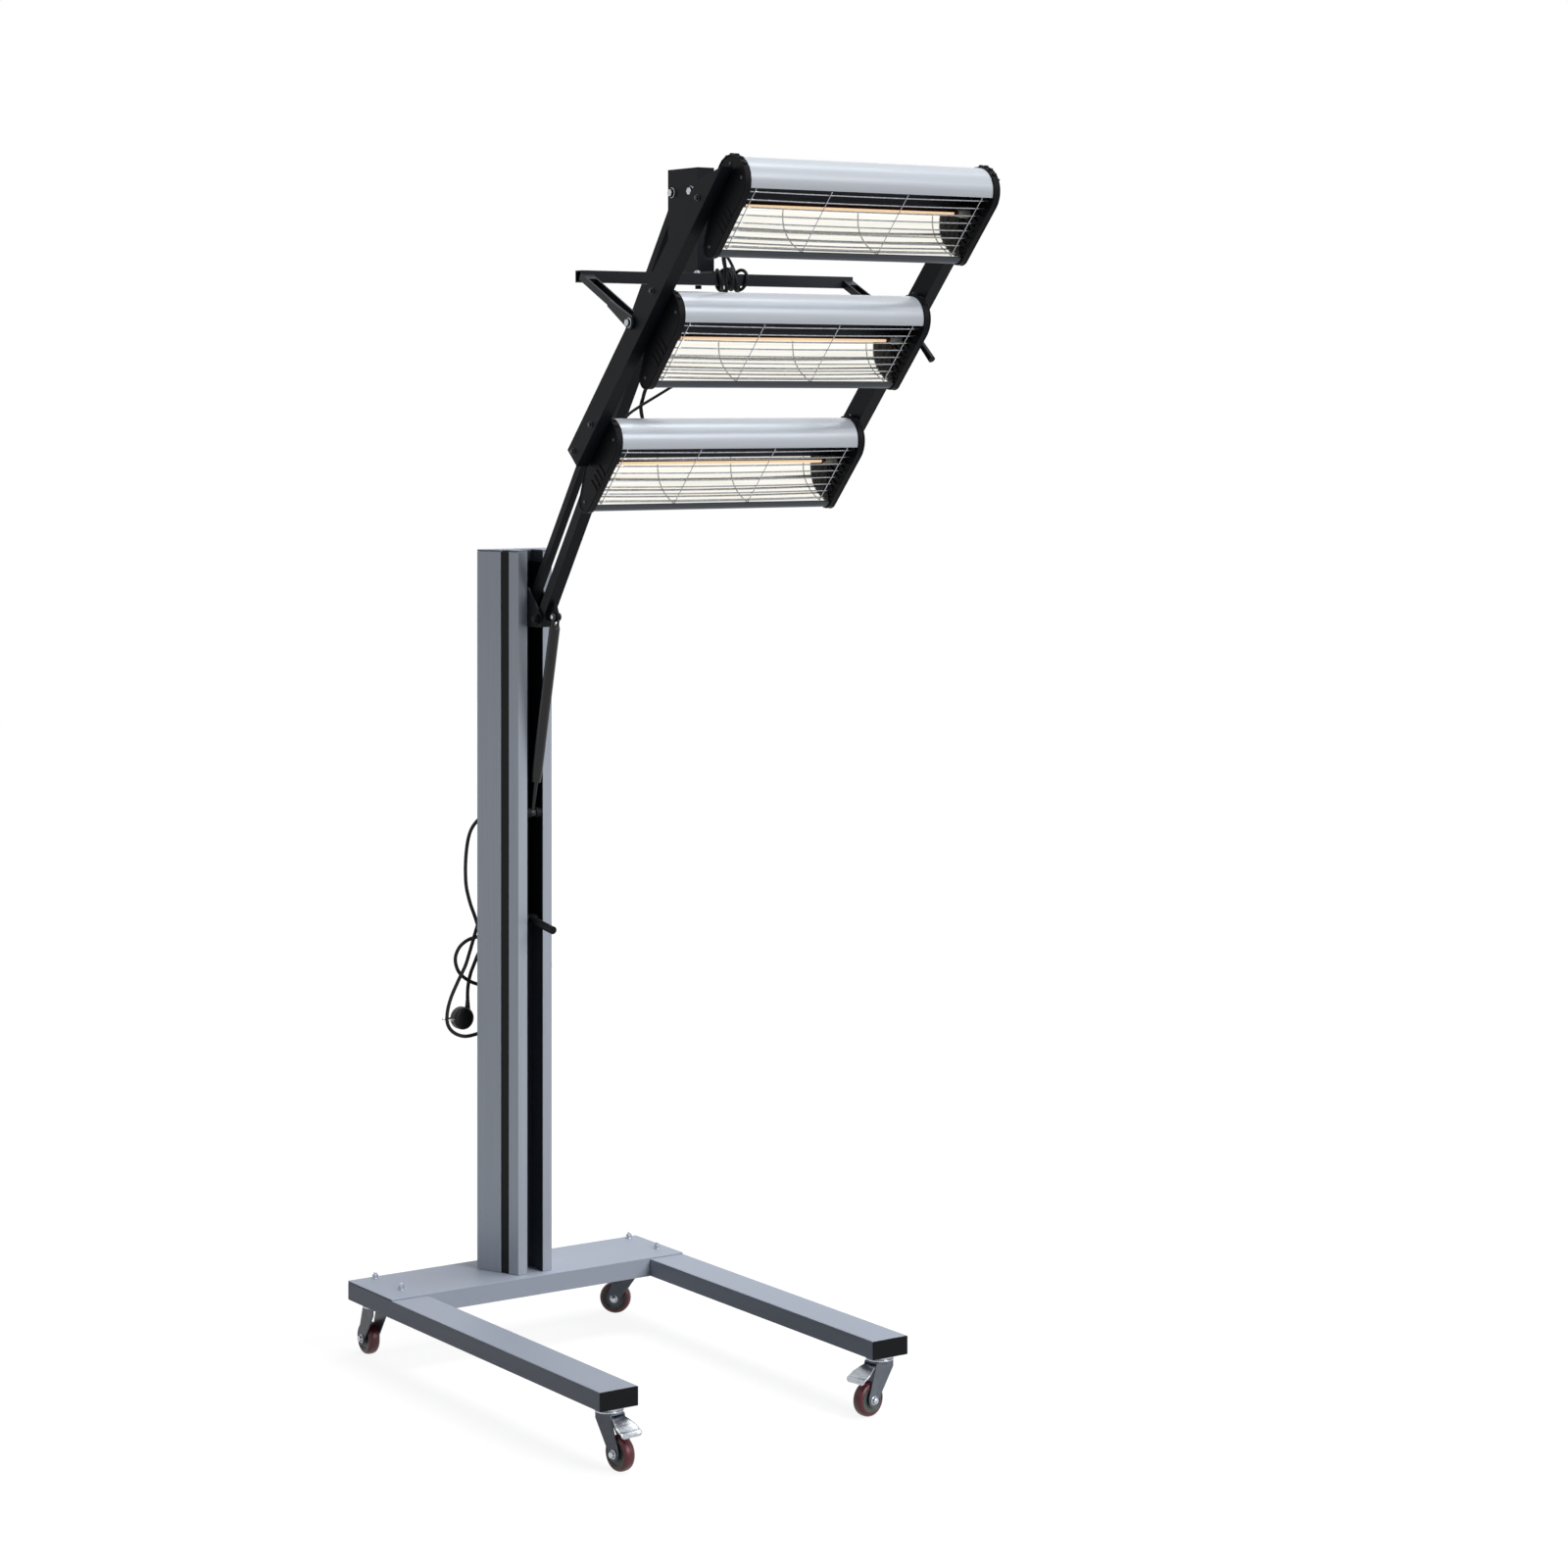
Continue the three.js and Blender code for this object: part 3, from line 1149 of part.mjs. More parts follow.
function plug() {
  const neckFoot = plugHeight - plugNeckLength;
  const neck = bar(plugNeckRadius, [plugX, plugBehind, neckFoot], [plugX, plugBehind, plugHeight],
    roundSides, cordRadius * plugNeckTipShare);
  const shell = bar(plugBodyRadius, [plugBodyX, plugBehind - plugBodyDepth / 2, plugBodyHeight],
    [plugBodyX, plugBehind + plugBodyDepth / 2, plugBodyHeight], roundSides);
  const pins = [-1, 1].map((side) => {
    const y = plugBehind + side * plugPinSpacing / 2;
    return bar(plugPinRadius, [plugBodyX, y, plugBodyHeight],
      [plugBodyX - plugBodyRadius - plugPinLength, y, plugBodyHeight], 8);
  });
  return join(neck, shell, ...pins);
}
piece(cordPlace, 'cord_gland', 'blackPlastic', gland());
piece(cordPlace, 'cord_hook', 'steel', hook());
piece(cordPlace, 'cord_lead', 'rubber', tube(leadRoute, cordRadius, leadSides, leadSteps));
piece(cordPlace, 'cord_coil', 'rubber', solidOf(sweep(coilLine, cordRadius, coilSides)));
piece(cordPlace, 'cord_tail', 'rubber', tube(tailRoute, cordRadius, leadSides, tailSteps));
piece(cordPlace, 'plug', 'blackPlastic', plug());

// The origin goes under the middle of the object's box, which is measured without the cord
const free = ['cord_lead', 'cord_coil', 'cord_tail', 'plug'];
const bounds = new THREE.Box3();
lamp.updateMatrixWorld(true);
lamp.traverse((item) => {
  if (item.isMesh && !free.includes(item.name)) {
    bounds.expandByObject(item, true);
  }
});
const middle = bounds.getCenter(new THREE.Vector3());
lamp.position.set(-middle.x, -middle.y, -bounds.min.z);

export default lamp;
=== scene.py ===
# Infrared paint curing lamp on a wheeled stand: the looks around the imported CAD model, in metres.
# Three lamp cassettes on a tilting head, a parallel arm, an aluminium column and a wheeled base.
import json
import math

import bmesh
import bpy
import numpy as np
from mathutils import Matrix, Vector


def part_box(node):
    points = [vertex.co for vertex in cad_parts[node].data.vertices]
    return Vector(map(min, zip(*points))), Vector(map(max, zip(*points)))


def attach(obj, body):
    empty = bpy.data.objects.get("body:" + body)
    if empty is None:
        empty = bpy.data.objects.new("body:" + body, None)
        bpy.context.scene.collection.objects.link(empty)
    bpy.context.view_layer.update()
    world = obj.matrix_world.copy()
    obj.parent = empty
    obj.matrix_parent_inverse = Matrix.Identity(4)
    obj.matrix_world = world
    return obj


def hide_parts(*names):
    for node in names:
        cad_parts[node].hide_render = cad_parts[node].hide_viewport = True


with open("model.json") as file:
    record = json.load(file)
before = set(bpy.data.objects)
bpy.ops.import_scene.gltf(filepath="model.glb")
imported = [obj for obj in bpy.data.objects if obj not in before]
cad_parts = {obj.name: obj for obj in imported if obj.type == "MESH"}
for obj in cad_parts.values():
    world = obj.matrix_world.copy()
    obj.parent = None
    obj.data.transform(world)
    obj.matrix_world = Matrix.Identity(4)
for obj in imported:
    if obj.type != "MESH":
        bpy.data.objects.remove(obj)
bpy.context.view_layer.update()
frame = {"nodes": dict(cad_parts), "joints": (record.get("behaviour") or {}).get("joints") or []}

# Camera: level and far off, to the left of the lamps, because the column's edges stay parallel
# in the photograph. The shift frames the whole stand without tilting the camera.
lens = bpy.data.cameras.new("camera")
lens.lens = 81.0
lens.sensor_width = 36.0
lens.shift_y = -0.2427
lens.clip_end = 100.0
camera = bpy.data.objects.new("camera", lens)
camera.location = (-3.6364, -5.6612, 1.9075)
camera.rotation_euler = (math.pi / 2, 0.0, math.radians(-34.61))
bpy.context.scene.collection.objects.link(camera)
bpy.context.scene.camera = camera


# Mains cord: about 4.3 m of round rubber flex, extruded over twisted cores, 7.5 mm thick. It
# leaves a gland on the column, hangs in a two-layer coil on a hook and ends in a plug. Routes are
# in mm: across, behind the column and above the tray.
column_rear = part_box("column")[1].y
tray_top = 0.150
cord_thickness = 0.0075
lead_route = [
    (-14, 20.6, 925), (-14, 30.4, 924.8), (-16.3, 43, 922.8), (-24, 54.2, 917.4), (-36, 60.6, 909),
    (-50, 60.4, 898.5), (-64, 54, 886), (-76, 44.6, 870), (-85, 36, 849), (-90, 31, 826),
    (-91, 30, 801), (-90, 28, 773),
    (-83, 24, 739), (-74, 20, 711), (-64, 16, 674), (-58, 14, 642), (-56, 14, 617)]
tail_route = [
    (51.5, 23.5, 678.23), (34, 24, 691), (8, 26, 711), (-18, 29, 720), (-44, 31, 714),
    (-59, 31, 700), (-66, 31, 683), (-72, 31, 665), (-81, 31, 639), (-90, 32, 613), (-105, 34, 584),
    (-122, 36, 548), (-130, 36, 519), (-129, 36, 497), (-117, 36, 480), (-93, 34, 469),
    (-66, 31, 471), (-38, 31, 480), (-8, 33, 502), (20, 38, 542), (34, 46, 588), (26, 50, 628),
    (2, 49, 656), (-28, 46, 667), (-55, 44.4, 667), (-78, 45.6, 661.5), (-95.5, 47.8, 648),
    (-103.4, 50, 626),
    (-95, 52, 599), (-76, 52, 581), (-54, 50, 570), (-28, 50, 565), (0, 54, 572), (22, 60, 596),
    (22, 62.5, 622), (14.2, 63.6, 638.6), (0.6, 64, 647.9), (-16, 64, 649), (-31.2, 63.8, 641.6),
    (-43.5, 63, 626.5), (-52.5, 62.2, 609), (-60, 62, 593),
    (-66, 62, 571), (-68, 62, 552), (-68, 62, 541.4)]
coil_middle = (24.0, 14.0, 600.0)
coil_radius = 80.0
coil_pitch = 9.0
coil_layer = 9.4
inward_turns = 3.0
climb_turn = 0.5
all_turns = 6 + 240 / 360


def coil_turns(steps_per_turn=24):
    """Points of the coil: the angle grows evenly, and the radius shrinks by one pitch a turn for
    three turns, stays for the half turn that climbs to the outer layer, and grows again."""
    turn = np.linspace(0, all_turns, int(round(all_turns * steps_per_turn)) + 1)
    layer = np.clip((turn - inward_turns) / climb_turn, 0, 1)
    outward = np.maximum(turn - inward_turns - climb_turn, 0)
    radius = coil_radius - coil_pitch * (np.minimum(turn, inward_turns) - outward)
    angle = np.radians(180 + 360 * turn)
    return np.stack([coil_middle[0] + radius * np.cos(angle), coil_middle[1] + coil_layer * layer,
                     coil_middle[2] + radius * np.sin(angle)], 1)


def smooth_path(points, step=4.0):
    """Centripetal Catmull-Rom curve through the points in mm, cut again into equal steps."""
    p = np.asarray(points, float)
    p = np.vstack([2 * p[0] - p[1], p, 2 * p[-1] - p[-2]])
    t = np.concatenate([[0], np.cumsum(np.sqrt(np.linalg.norm(np.diff(p, axis=0), axis=1)))])
    share = np.linspace(0, 1, 16, endpoint=False)
    i = np.repeat(np.arange(1, len(p) - 2), len(share))
    s = t[i] + np.tile(share, len(p) - 3) * (t[i + 1] - t[i])

    def mix(left, right, a, b):
        return ((b - s) / (b - a))[:, None] * left + ((s - a) / (b - a))[:, None] * right

    a1 = mix(p[i - 1], p[i], t[i - 1], t[i])
    a2 = mix(p[i], p[i + 1], t[i], t[i + 1])
    a3 = mix(p[i + 1], p[i + 2], t[i + 1], t[i + 2])
    b1 = mix(a1, a2, t[i - 1], t[i + 1])
    b2 = mix(a2, a3, t[i], t[i + 2])
    curve = np.vstack([mix(b1, b2, t[i], t[i + 1]), p[-2]])
    length = np.concatenate([[0], np.cumsum(np.linalg.norm(np.diff(curve, axis=0), axis=1))])
    where = np.linspace(0, length[-1], max(2, int(length[-1] / step) + 1))
    return np.stack([np.interp(where, length, curve[:, k]) for k in range(3)], 1)


def put(name, points, faces, *finishes, smooth=True):
    """A mesh object at the origin, from points in metres and faces that hold point numbers."""
    mesh = bpy.data.meshes.new(name)
    mesh.from_pydata(np.asarray(points, float).reshape(-1, 3).tolist(), [], [list(f) for f in faces])
    for finish in finishes:
        mesh.materials.append(finish)
    if smooth:
        mesh.shade_smooth()
    piece = bpy.data.objects.new(name, mesh)
    bpy.context.scene.collection.objects.link(piece)
    return piece


def ring_faces(rings, sides, closed=False):
    """Four-sided faces between each ring of points and the next, and from last to first if closed."""
    row = np.arange(rings if closed else rings - 1)[:, None] * sides
    following = (row + sides) % (rings * sides)
    k = np.arange(sides)[None]
    turn = (k + 1) % sides
    return np.stack([row + k, row + turn, following + turn, following + k], -1).reshape(-1, 4).tolist()


def unit(rows):
    return rows / np.linalg.norm(rows, axis=1)[:, None]


def tube(name, path, radius, finish, sides, closed=False):
    """A round tube: a ring of the given radius, one value or one for each point, stands square to
    the path at every point, turned as little as possible from the ring before it."""
    path = np.asarray(path, float)
    count = len(path)
    along = unit(np.roll(path, -1, 0) - np.roll(path, 1, 0) if closed else np.gradient(path, axis=0))
    side = np.zeros_like(path)
    side[0] = np.cross(along[0], (0.31, 0.77, 0.55))
    for i in range(1, count):
        side[i] = side[i - 1] - along[i] * (side[i - 1] @ along[i])
        side[i] /= np.linalg.norm(side[i])
    side[0] /= np.linalg.norm(side[0])
    up = np.cross(along, side)
    angle = np.linspace(0, 2 * np.pi, sides, endpoint=False)
    ring = np.cos(angle)[None, :, None] * side[:, None] + np.sin(angle)[None, :, None] * up[:, None]
    points = path[:, None] + ring * np.broadcast_to(radius, count)[:, None, None]
    faces = ring_faces(count, sides, closed)
    if not closed:
        faces += [list(range(sides))[::-1], [(count - 1) * sides + i for i in range(sides)]]
    return put(name, points, faces, finish)


def linear(code):
    """An sRGB colour as a hex number, turned to linear red, green, blue and alpha."""
    parts = np.array([(code >> shift) & 255 for shift in (16, 8, 0)]) / 255.0
    values = np.where(parts <= 0.04045, parts / 12.92, ((parts + 0.055) / 1.055) ** 2.4)
    return (*values.tolist(), 1.0)


def add(tree, kind, settings=None, links=None, **values):
    """Adds a node, sets its properties and inputs, and links its inputs from other outputs."""
    node = tree.nodes.new("ShaderNode" + kind)
    for name, value in (settings or {}).items():
        setattr(node, name, value)
    for name, value in values.items():
        node.inputs[name.replace("_", " ")].default_value = value
    for name, socket in (links or {}).items():
        tree.links.new(socket, node.inputs[name])
    return node


def finish_of(name, **values):
    """A new material: its shader's own sockets hold what is the same all over the surface."""
    material = bpy.data.materials.new(name)
    material.use_nodes = True
    shader = material.node_tree.nodes["Principled BSDF"]
    for key, value in values.items():
        shader.inputs[key.replace("_", " ")].default_value = value
    return material, material.node_tree, shader


def colour_ramp(tree, source, *stops):
    """A ramp between two colours, each given as its place on the ramp and its sRGB code."""
    ramp = add(tree, "ValToRGB", links={"Fac": source})
    for element, (place, code) in zip(ramp.color_ramp.elements, stops):
        element.position = place
        element.color = linear(code)
    return ramp.outputs["Color"]


def mottled(name, dark, light, grain, bump=0.0, depth=0.0001, stretch=(1, 1, 1), rough=(0.4, 0.5),
            metallic=0.0, specular=0.5, **values):
    """A finish whose colour and roughness drift between two values with a noise whose cells
    measure about one grain, stretched by axis, and which also raises the surface a little."""
    material, tree, shader = finish_of(name, Metallic=metallic, Specular_IOR_Level=specular, **values)
    place = add(tree, "TexCoord").outputs["Object"]
    size = tuple(1.0 / (grain * s) for s in stretch)
    scaled = add(tree, "Mapping", links={"Vector": place}, Scale=size).outputs["Vector"]
    noise = add(tree, "TexNoise", links={"Vector": scaled}, Scale=1.0, Detail=4.0).outputs["Fac"]
    tree.links.new(colour_ramp(tree, noise, (0.3, dark), (0.7, light)), shader.inputs["Base Color"])
    spread = add(tree, "MapRange", links={"Value": noise}, To_Min=rough[0], To_Max=rough[1])
    tree.links.new(spread.outputs["Result"], shader.inputs["Roughness"])
    if bump:
        raised = add(tree, "Bump", links={"Height": noise}, Strength=bump, Distance=depth)
        tree.links.new(raised.outputs["Normal"], shader.inputs["Normal"])
    return material


# Extruded rubber flex: dull near-black with a drawn skin, coarser than real so that it shows.
flex_rubber = mottled(
    "extruded rubber flex", 0x0e0f11, 0x1b1c1f, 0.003, 0.2, 0.0002, rough=(0.5, 0.7), specular=0.25)
route = np.vstack([smooth_path(lead_route), coil_turns(), smooth_path(tail_route)])
route = smooth_path(route) / 1000.0 + (0, column_rear, tray_top)
cord = tube("mains_cord", route, cord_thickness / 2, flex_rubber, 14)
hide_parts("cord_lead", "cord_coil", "cord_tail")
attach(cord, "base")


# Plug and gland: the plug is moulded PVC, one round body with two nickel pins and, square to
# them, a ribbed tapering neck. The gland is a nylon hexagon nut with a ribbed strain relief.
def eased(corners, radius, steps):
    """Corners of an open outline rounded off: each is a short curve from a point just before it
    to one just after it, pulled towards the corner."""
    c = np.asarray(corners, float)
    out = [c[:1]]
    share = np.linspace(0, 1, steps)[:, None]
    for before, corner, after in zip(c[:-2], c[1:-1], c[2:]):
        back, ahead = before - corner, after - corner
        cut = min(radius, 0.45 * np.linalg.norm(back), 0.45 * np.linalg.norm(ahead))
        a = corner + back / np.linalg.norm(back) * cut
        b = corner + ahead / np.linalg.norm(ahead) * cut
        out.append((1 - share) ** 2 * a + 2 * share * (1 - share) * corner + share ** 2 * b)
    return np.vstack(out + [c[-1:]])


def faced_out(piece):
    """Turns every face of a closed piece outwards."""
    work = bmesh.new()
    work.from_mesh(piece.data)
    bmesh.ops.recalc_face_normals(work, faces=work.faces)
    work.to_mesh(piece.data)
    work.free()
    return piece


def lathed(name, base, axis, outline, corner, finish, sides, steps=4):
    """A turned piece: pairs of radius and distance along the axis, in mm, with their corners eased,
    spun round the axis. An outline that starts on the axis is closed by a pole at both ends, and
    any other closes on itself."""
    profile = eased(outline, corner, steps) / 1000.0
    axis = np.asarray(axis, float) / np.linalg.norm(axis)
    side = np.cross(axis, (0.0, 0.0, 1.0) if abs(axis[2]) < 0.9 else (1.0, 0.0, 0.0))
    side /= np.linalg.norm(side)
    up = np.cross(axis, side)
    angle = np.linspace(0, 2 * np.pi, sides, endpoint=False)
    spoke = np.cos(angle)[:, None] * side + np.sin(angle)[:, None] * up
    poles = profile[0, 0] < 1e-9
    rings = profile[1:-1] if poles else profile[:-1]
    points = np.asarray(base) + rings[:, 0, None, None] * spoke + rings[:, 1, None, None] * axis
    points = points.reshape(-1, 3)
    faces = ring_faces(len(rings), sides, closed=not poles)
    if poles:
        points = np.vstack([points, np.asarray(base) + profile[[0, -1], 1, None] * axis])
        low = len(rings) * sides
        top = low - sides
        faces += [[(i + 1) % sides, i, low] for i in range(sides)]
        faces += [[top + i, top + (i + 1) % sides, low + 1] for i in range(sides)]
    return faced_out(put(name, points, faces, finish))


def ribbed(radius, taper, groove, places, start=0.0):
    """Ribs on a taper: every other corner lies deeper by one groove."""
    return [(radius - taper * d - groove * (i % 2), start + d) for i, d in enumerate(places)]


def points_of(mesh):
    found = np.empty(len(mesh.vertices) * 3)
    mesh.vertices.foreach_get("co", found)
    return found.reshape(-1, 3)


def carried(piece, body, finish_slot, *nodes):
    """Attaches a piece to the body that carries it and hides the CAD pieces it stands for; finish_slot is not
    used.
    """
    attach(piece, body)
    if nodes:
        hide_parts(*nodes)
    return piece


def grouped(name, pieces, body, finish_slot, *nodes):
    """Pieces of one finish made one object, in which their meshes stay apart, and carried."""
    points, faces, start = [], [], 0
    for piece in pieces:
        points.append(points_of(piece.data))
        faces += [[start + v for v in polygon.vertices] for polygon in piece.data.polygons]
        start += len(points[-1])
    finishes = list(pieces[0].data.materials)
    for piece in pieces:
        bpy.data.objects.remove(piece)
    return carried(put(name, np.vstack(points), faces, *finishes), body, finish_slot, *nodes)


# Moulded PVC: satin black with a faint spark-eroded grain from the mould.
moulded_pvc = mottled("moulded black PVC", 0x101114, 0x17181b, 0.0012, 0.15, specular=0.3)
# Nickel plate: bright and slightly warm, with fine polishing lines.
nickel_plate = mottled(
    "nickel plated steel", 0xb8b6b0, 0xd2d0ca, 0.002, 0.05, 0.00005, (8, 8, 1), (0.18, 0.3), metallic=1.0)
plug_face = np.array([-0.081, column_rear + 0.062, tray_top + 0.501])
plug_outline = [(0, 0), (19, 0), (23, 4), (23, 22), (19, 26), (0, 26)]
plug_body = lathed("plug_body", plug_face - (0, 0.013, 0), (0, 1, 0), plug_outline, 3.0, moulded_pvc, 56, 6)
neck_outline = [(0, 0), (7.2, 0)] + ribbed(7.0, 0.085, 0.8, np.arange(2, 31, 2.6)) + [(4.3, 34), (0, 34)]
plug_neck = lathed("plug_neck", plug_face + (0.013, 0, 0.006), (0, 0, 1), neck_outline, 0.6, moulded_pvc, 32)
plug = grouped("plug_moulding", [plug_body, plug_neck], "base", "black_plastic", "plug")
pin_outline = [(0, 0), (2.4, 0), (2.4, 18), (1.4, 19), (0, 19)]
pins = [lathed("pin", plug_face + (-0.0225, s * 0.0095, 0), (-1, 0, 0), pin_outline, 0.5, nickel_plate, 20)
        for s in (-1, 1)]
pins = grouped("plug_pins", pins, "base", "bright_steel")
gland_foot = np.array([-0.014, column_rear - 0.0003, tray_top + 0.925])
cone_outline = [(0, 4), (10.2, 4), (10.2, 6.5), *ribbed(10, 0.2, 0.9, np.arange(1, 12.5, 1.6), 6.2),
                (5.6, 20), (0, 20)]
nut_outline = [(0, 0), (12, 0), (12.6, 0.6), (12.6, 5.4), (12, 6), (0, 6)]
gland = [lathed("gland_cone", gland_foot, (0, 1, 0), cone_outline, 0.5, moulded_pvc, 36),
         lathed("gland_nut", gland_foot, (0, 1, 0), nut_outline, 0.4, moulded_pvc, 6)]
grouped("cord_gland_moulding", gland, "base", "black_plastic", "cord_gland")


# Studio: a white floor and a white world for the camera and for reflections, one soft sun from
# above and one low in front, to the right, and little light from the left, as in the photograph.
scene = bpy.context.scene
scene.view_settings.view_transform = "Standard"


def seen_rays(tree):
    """One for rays from the camera and for reflected and transmitted ones, and nought for others."""
    rays = add(tree, "LightPath")
    found = rays.outputs["Is Camera Ray"]
    for kind in ("Is Glossy Ray", "Is Transmission Ray"):
        most = add(tree, "Math", {"operation": "MAXIMUM"}, {0: found, 1: rays.outputs[kind]})
        found = most.outputs[0]
    return found


world = bpy.data.worlds.new("studio")
world.use_nodes = True
scene.world = world
air = world.node_tree
air.nodes.clear()
soft_fill = add(air, "Background", Color=linear(0xe6ecf5), Strength=0.085).outputs[0]
white_wall = add(air, "Background", Color=(1, 1, 1, 1), Strength=1.0).outputs[0]
wall_mix = add(air, "MixShader", links={0: seen_rays(air), 1: soft_fill, 2: white_wall})
add(air, "OutputWorld", links={"Surface": wall_mix.outputs[0]})

floor_paper = bpy.data.materials.new("white studio paper")
floor_paper.use_nodes = True
paper = floor_paper.node_tree
paper.nodes.clear()
matt = add(paper, "BsdfDiffuse", Color=(0.17, 0.17, 0.17, 1)).outputs[0]
glow = add(paper, "Emission", Color=(1, 1, 1, 1), Strength=0.9).outputs[0]
shown = add(paper, "MixShader", links={0: seen_rays(paper), 2: glow}).outputs[0]
whole = add(paper, "AddShader", links={0: matt, 1: shown}).outputs[0]
add(paper, "OutputMaterial", links={"Surface": whole})
reach = 14.0
floor = put("floor", [(-reach, -reach, 0), (reach, -reach, 0), (reach, reach, 0), (-reach, reach, 0)],
            [(0, 1, 2, 3)], floor_paper, smooth=False)
for name, energy, spread, towards in (("top_lamp", 1.9, 35, (0.25, -0.12, 0.96)),
                                      ("front_lamp", 1.75, 28, (0.27, -0.85, 0.45))):
    sun = bpy.data.lights.new(name, "SUN")
    sun.energy = energy
    sun.angle = math.radians(spread)
    lamp = bpy.data.objects.new(name, sun)
    lamp.rotation_euler = Vector(towards).to_track_quat("Z", "Y").to_euler()
    scene.collection.objects.link(lamp)


# Base: two 80 x 35 mm tube legs under a folded sheet tray, welded and bolted, all powder coated
# grey after welding, with black push-in caps in the front ends of the legs.
def soft_edged(piece, width, segments, corner, harden=True):
    """Rounds, to a width in mm, the edges that turn by more than the corner angle."""
    soft = piece.modifiers.new("edges", "BEVEL")
    soft.width = width / 1000.0
    soft.segments = segments
    soft.limit_method = "ANGLE"
    soft.angle_limit = math.radians(corner)
    soft.harden_normals = harden
    return piece


def rounded(name, node, finish, width, segments=2, corner=38):
    """A copy of a CAD piece with its triangles merged into flat faces and its edges rounded,
    shaded smooth between the roundings."""
    work = bmesh.new()
    work.from_mesh(frame["nodes"][node].data)
    bmesh.ops.remove_doubles(work, verts=work.verts, dist=2e-5)
    bmesh.ops.dissolve_limit(work, angle_limit=math.radians(1.0), verts=work.verts, edges=work.edges)
    work.verts.index_update()
    points = [v.co[:] for v in work.verts]
    faces = [[v.index for v in f.verts] for f in work.faces]
    work.free()
    return soft_edged(put(name, points, faces, finish), width, segments, corner)


def dressed(name, node, body, finish_slot, finish, *edges):
    """A rounded copy that stands for its CAD piece."""
    return carried(rounded(name, node, finish, *edges), body, finish_slot, node)


# Grey powder coat: melted powder, satin, with a faint orange peel of about a millimetre.
grey_coat = mottled("grey powder coat", 0xa7afbe, 0xadb5c4, 0.0015, 0.12, rough=(0.42, 0.52), specular=0.2)
# Black nylon: injection moulded, near black and satin.
black_nylon = mottled(
    "moulded black nylon", 0x111216, 0x17181c, 0.001, 0.1, 0.00008, rough=(0.36, 0.46), specular=0.1)
# Zinc plate: bright and faintly blue, with soft patches from the plating bath.
zinc_plate = mottled("bright zinc plate", 0xa6abb3, 0xc0c4ca, 0.009, 0.05, rough=(0.2, 0.32), metallic=1.0)
for node, edge in (("cross_tray", 1.0), ("leg_left", 1.6), ("leg_right", 1.6)):
    dressed(node + "_coated", node, "base", "grey_paint", grey_coat, edge, 3)
hands = (("left", -1), ("right", 1))
for side, _ in hands:
    dressed("leg_end_cap_" + side, "leg_cap_" + side, "base", "black_plastic", black_nylon, 1.2, 3)
stud_and_nut = [(0, 0), (8, 0), (8, 1.3), (6, 1.6), (6, 7), (5.2, 8), (3.4, 8), (3.4, 11.5), (2.6, 12.4),
                (0, 12.4)]
tray_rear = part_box("cross_tray")[1].y
base_bolts = [lathed("bolt", (x, tray_rear - back, tray_top), (0, 0, 1), stud_and_nut, 0.4, zinc_plate, 24)
              for x in (-0.2865, 0.3145) for back in (0.014, 0.124)]
grouped("base_bolts", base_bolts, "base", "zinc_steel")


# Castors: a pressed zinc-plated fork under a ball race, a maroon polyurethane tread moulded on a
# grey nylon hub, and at the front a brake pedal that is a flared pressing with a turned lip.
joints = {joint["name"]: joint for joint in frame["joints"]}


def pivot_of(joint):
    return np.array(joints[joint]["pos_m"], float)


def middle_of(node):
    low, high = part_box(node)
    return (np.array(low) + np.array(high)) / 2


# Pressed forks: zinc plate under a clear passivate, duller and darker than the turned pieces.
passivated = mottled("passivated zinc pressing", 0x6a7079, 0x767c86, 0.014, 0.05, rough=(0.26, 0.36),
                     metallic=0.15, specular=0.2)
# Polyurethane tread: cast, semi-gloss, deep maroon. Hub: grey nylon with a slight green cast.
maroon_tread = mottled("cast maroon polyurethane", 0x4a0f1b, 0x641826, 0.006, 0.05, rough=(0.3, 0.42))
grey_hub = mottled("moulded grey nylon", 0x4d5552, 0x5e6663, 0.002, 0.1, rough=(0.45, 0.55))
tread = [(23.5, -11.6), (27, -12), (30.5, -9.5), (32.4, -5), (32.5, 0), (32.4, 5), (30.5, 9.5), (27, 12),
         (23.5, 11.6), (23.5, -11.6)]
hub = [(4.3, -12), (8, -12), (8.2, -9.2), (20.5, -9), (21.5, -11), (23.8, -11.4), (23.8, 11.4), (21.5, 11),
       (20.5, 9), (8.2, 9.2), (8, 12), (4.3, 12), (4.3, -12)]
race = [(0, 0.5), (25.5, 0.5), (27, 2), (27, 4.6), (24.5, 5.6), (23.6, 6.6), (26.4, 7.6), (26.6, 9.8),
        (24, 11.2), (0, 11.2)]
axle_nut = [(0, 0), (8.4, 0), (8.4, 1.2), (6.4, 1.6), (6.4, 4.2), (5.4, 6.4), (3, 7.6), (0, 8)]
race_top = 0.112
fork_half_width = 0.0162
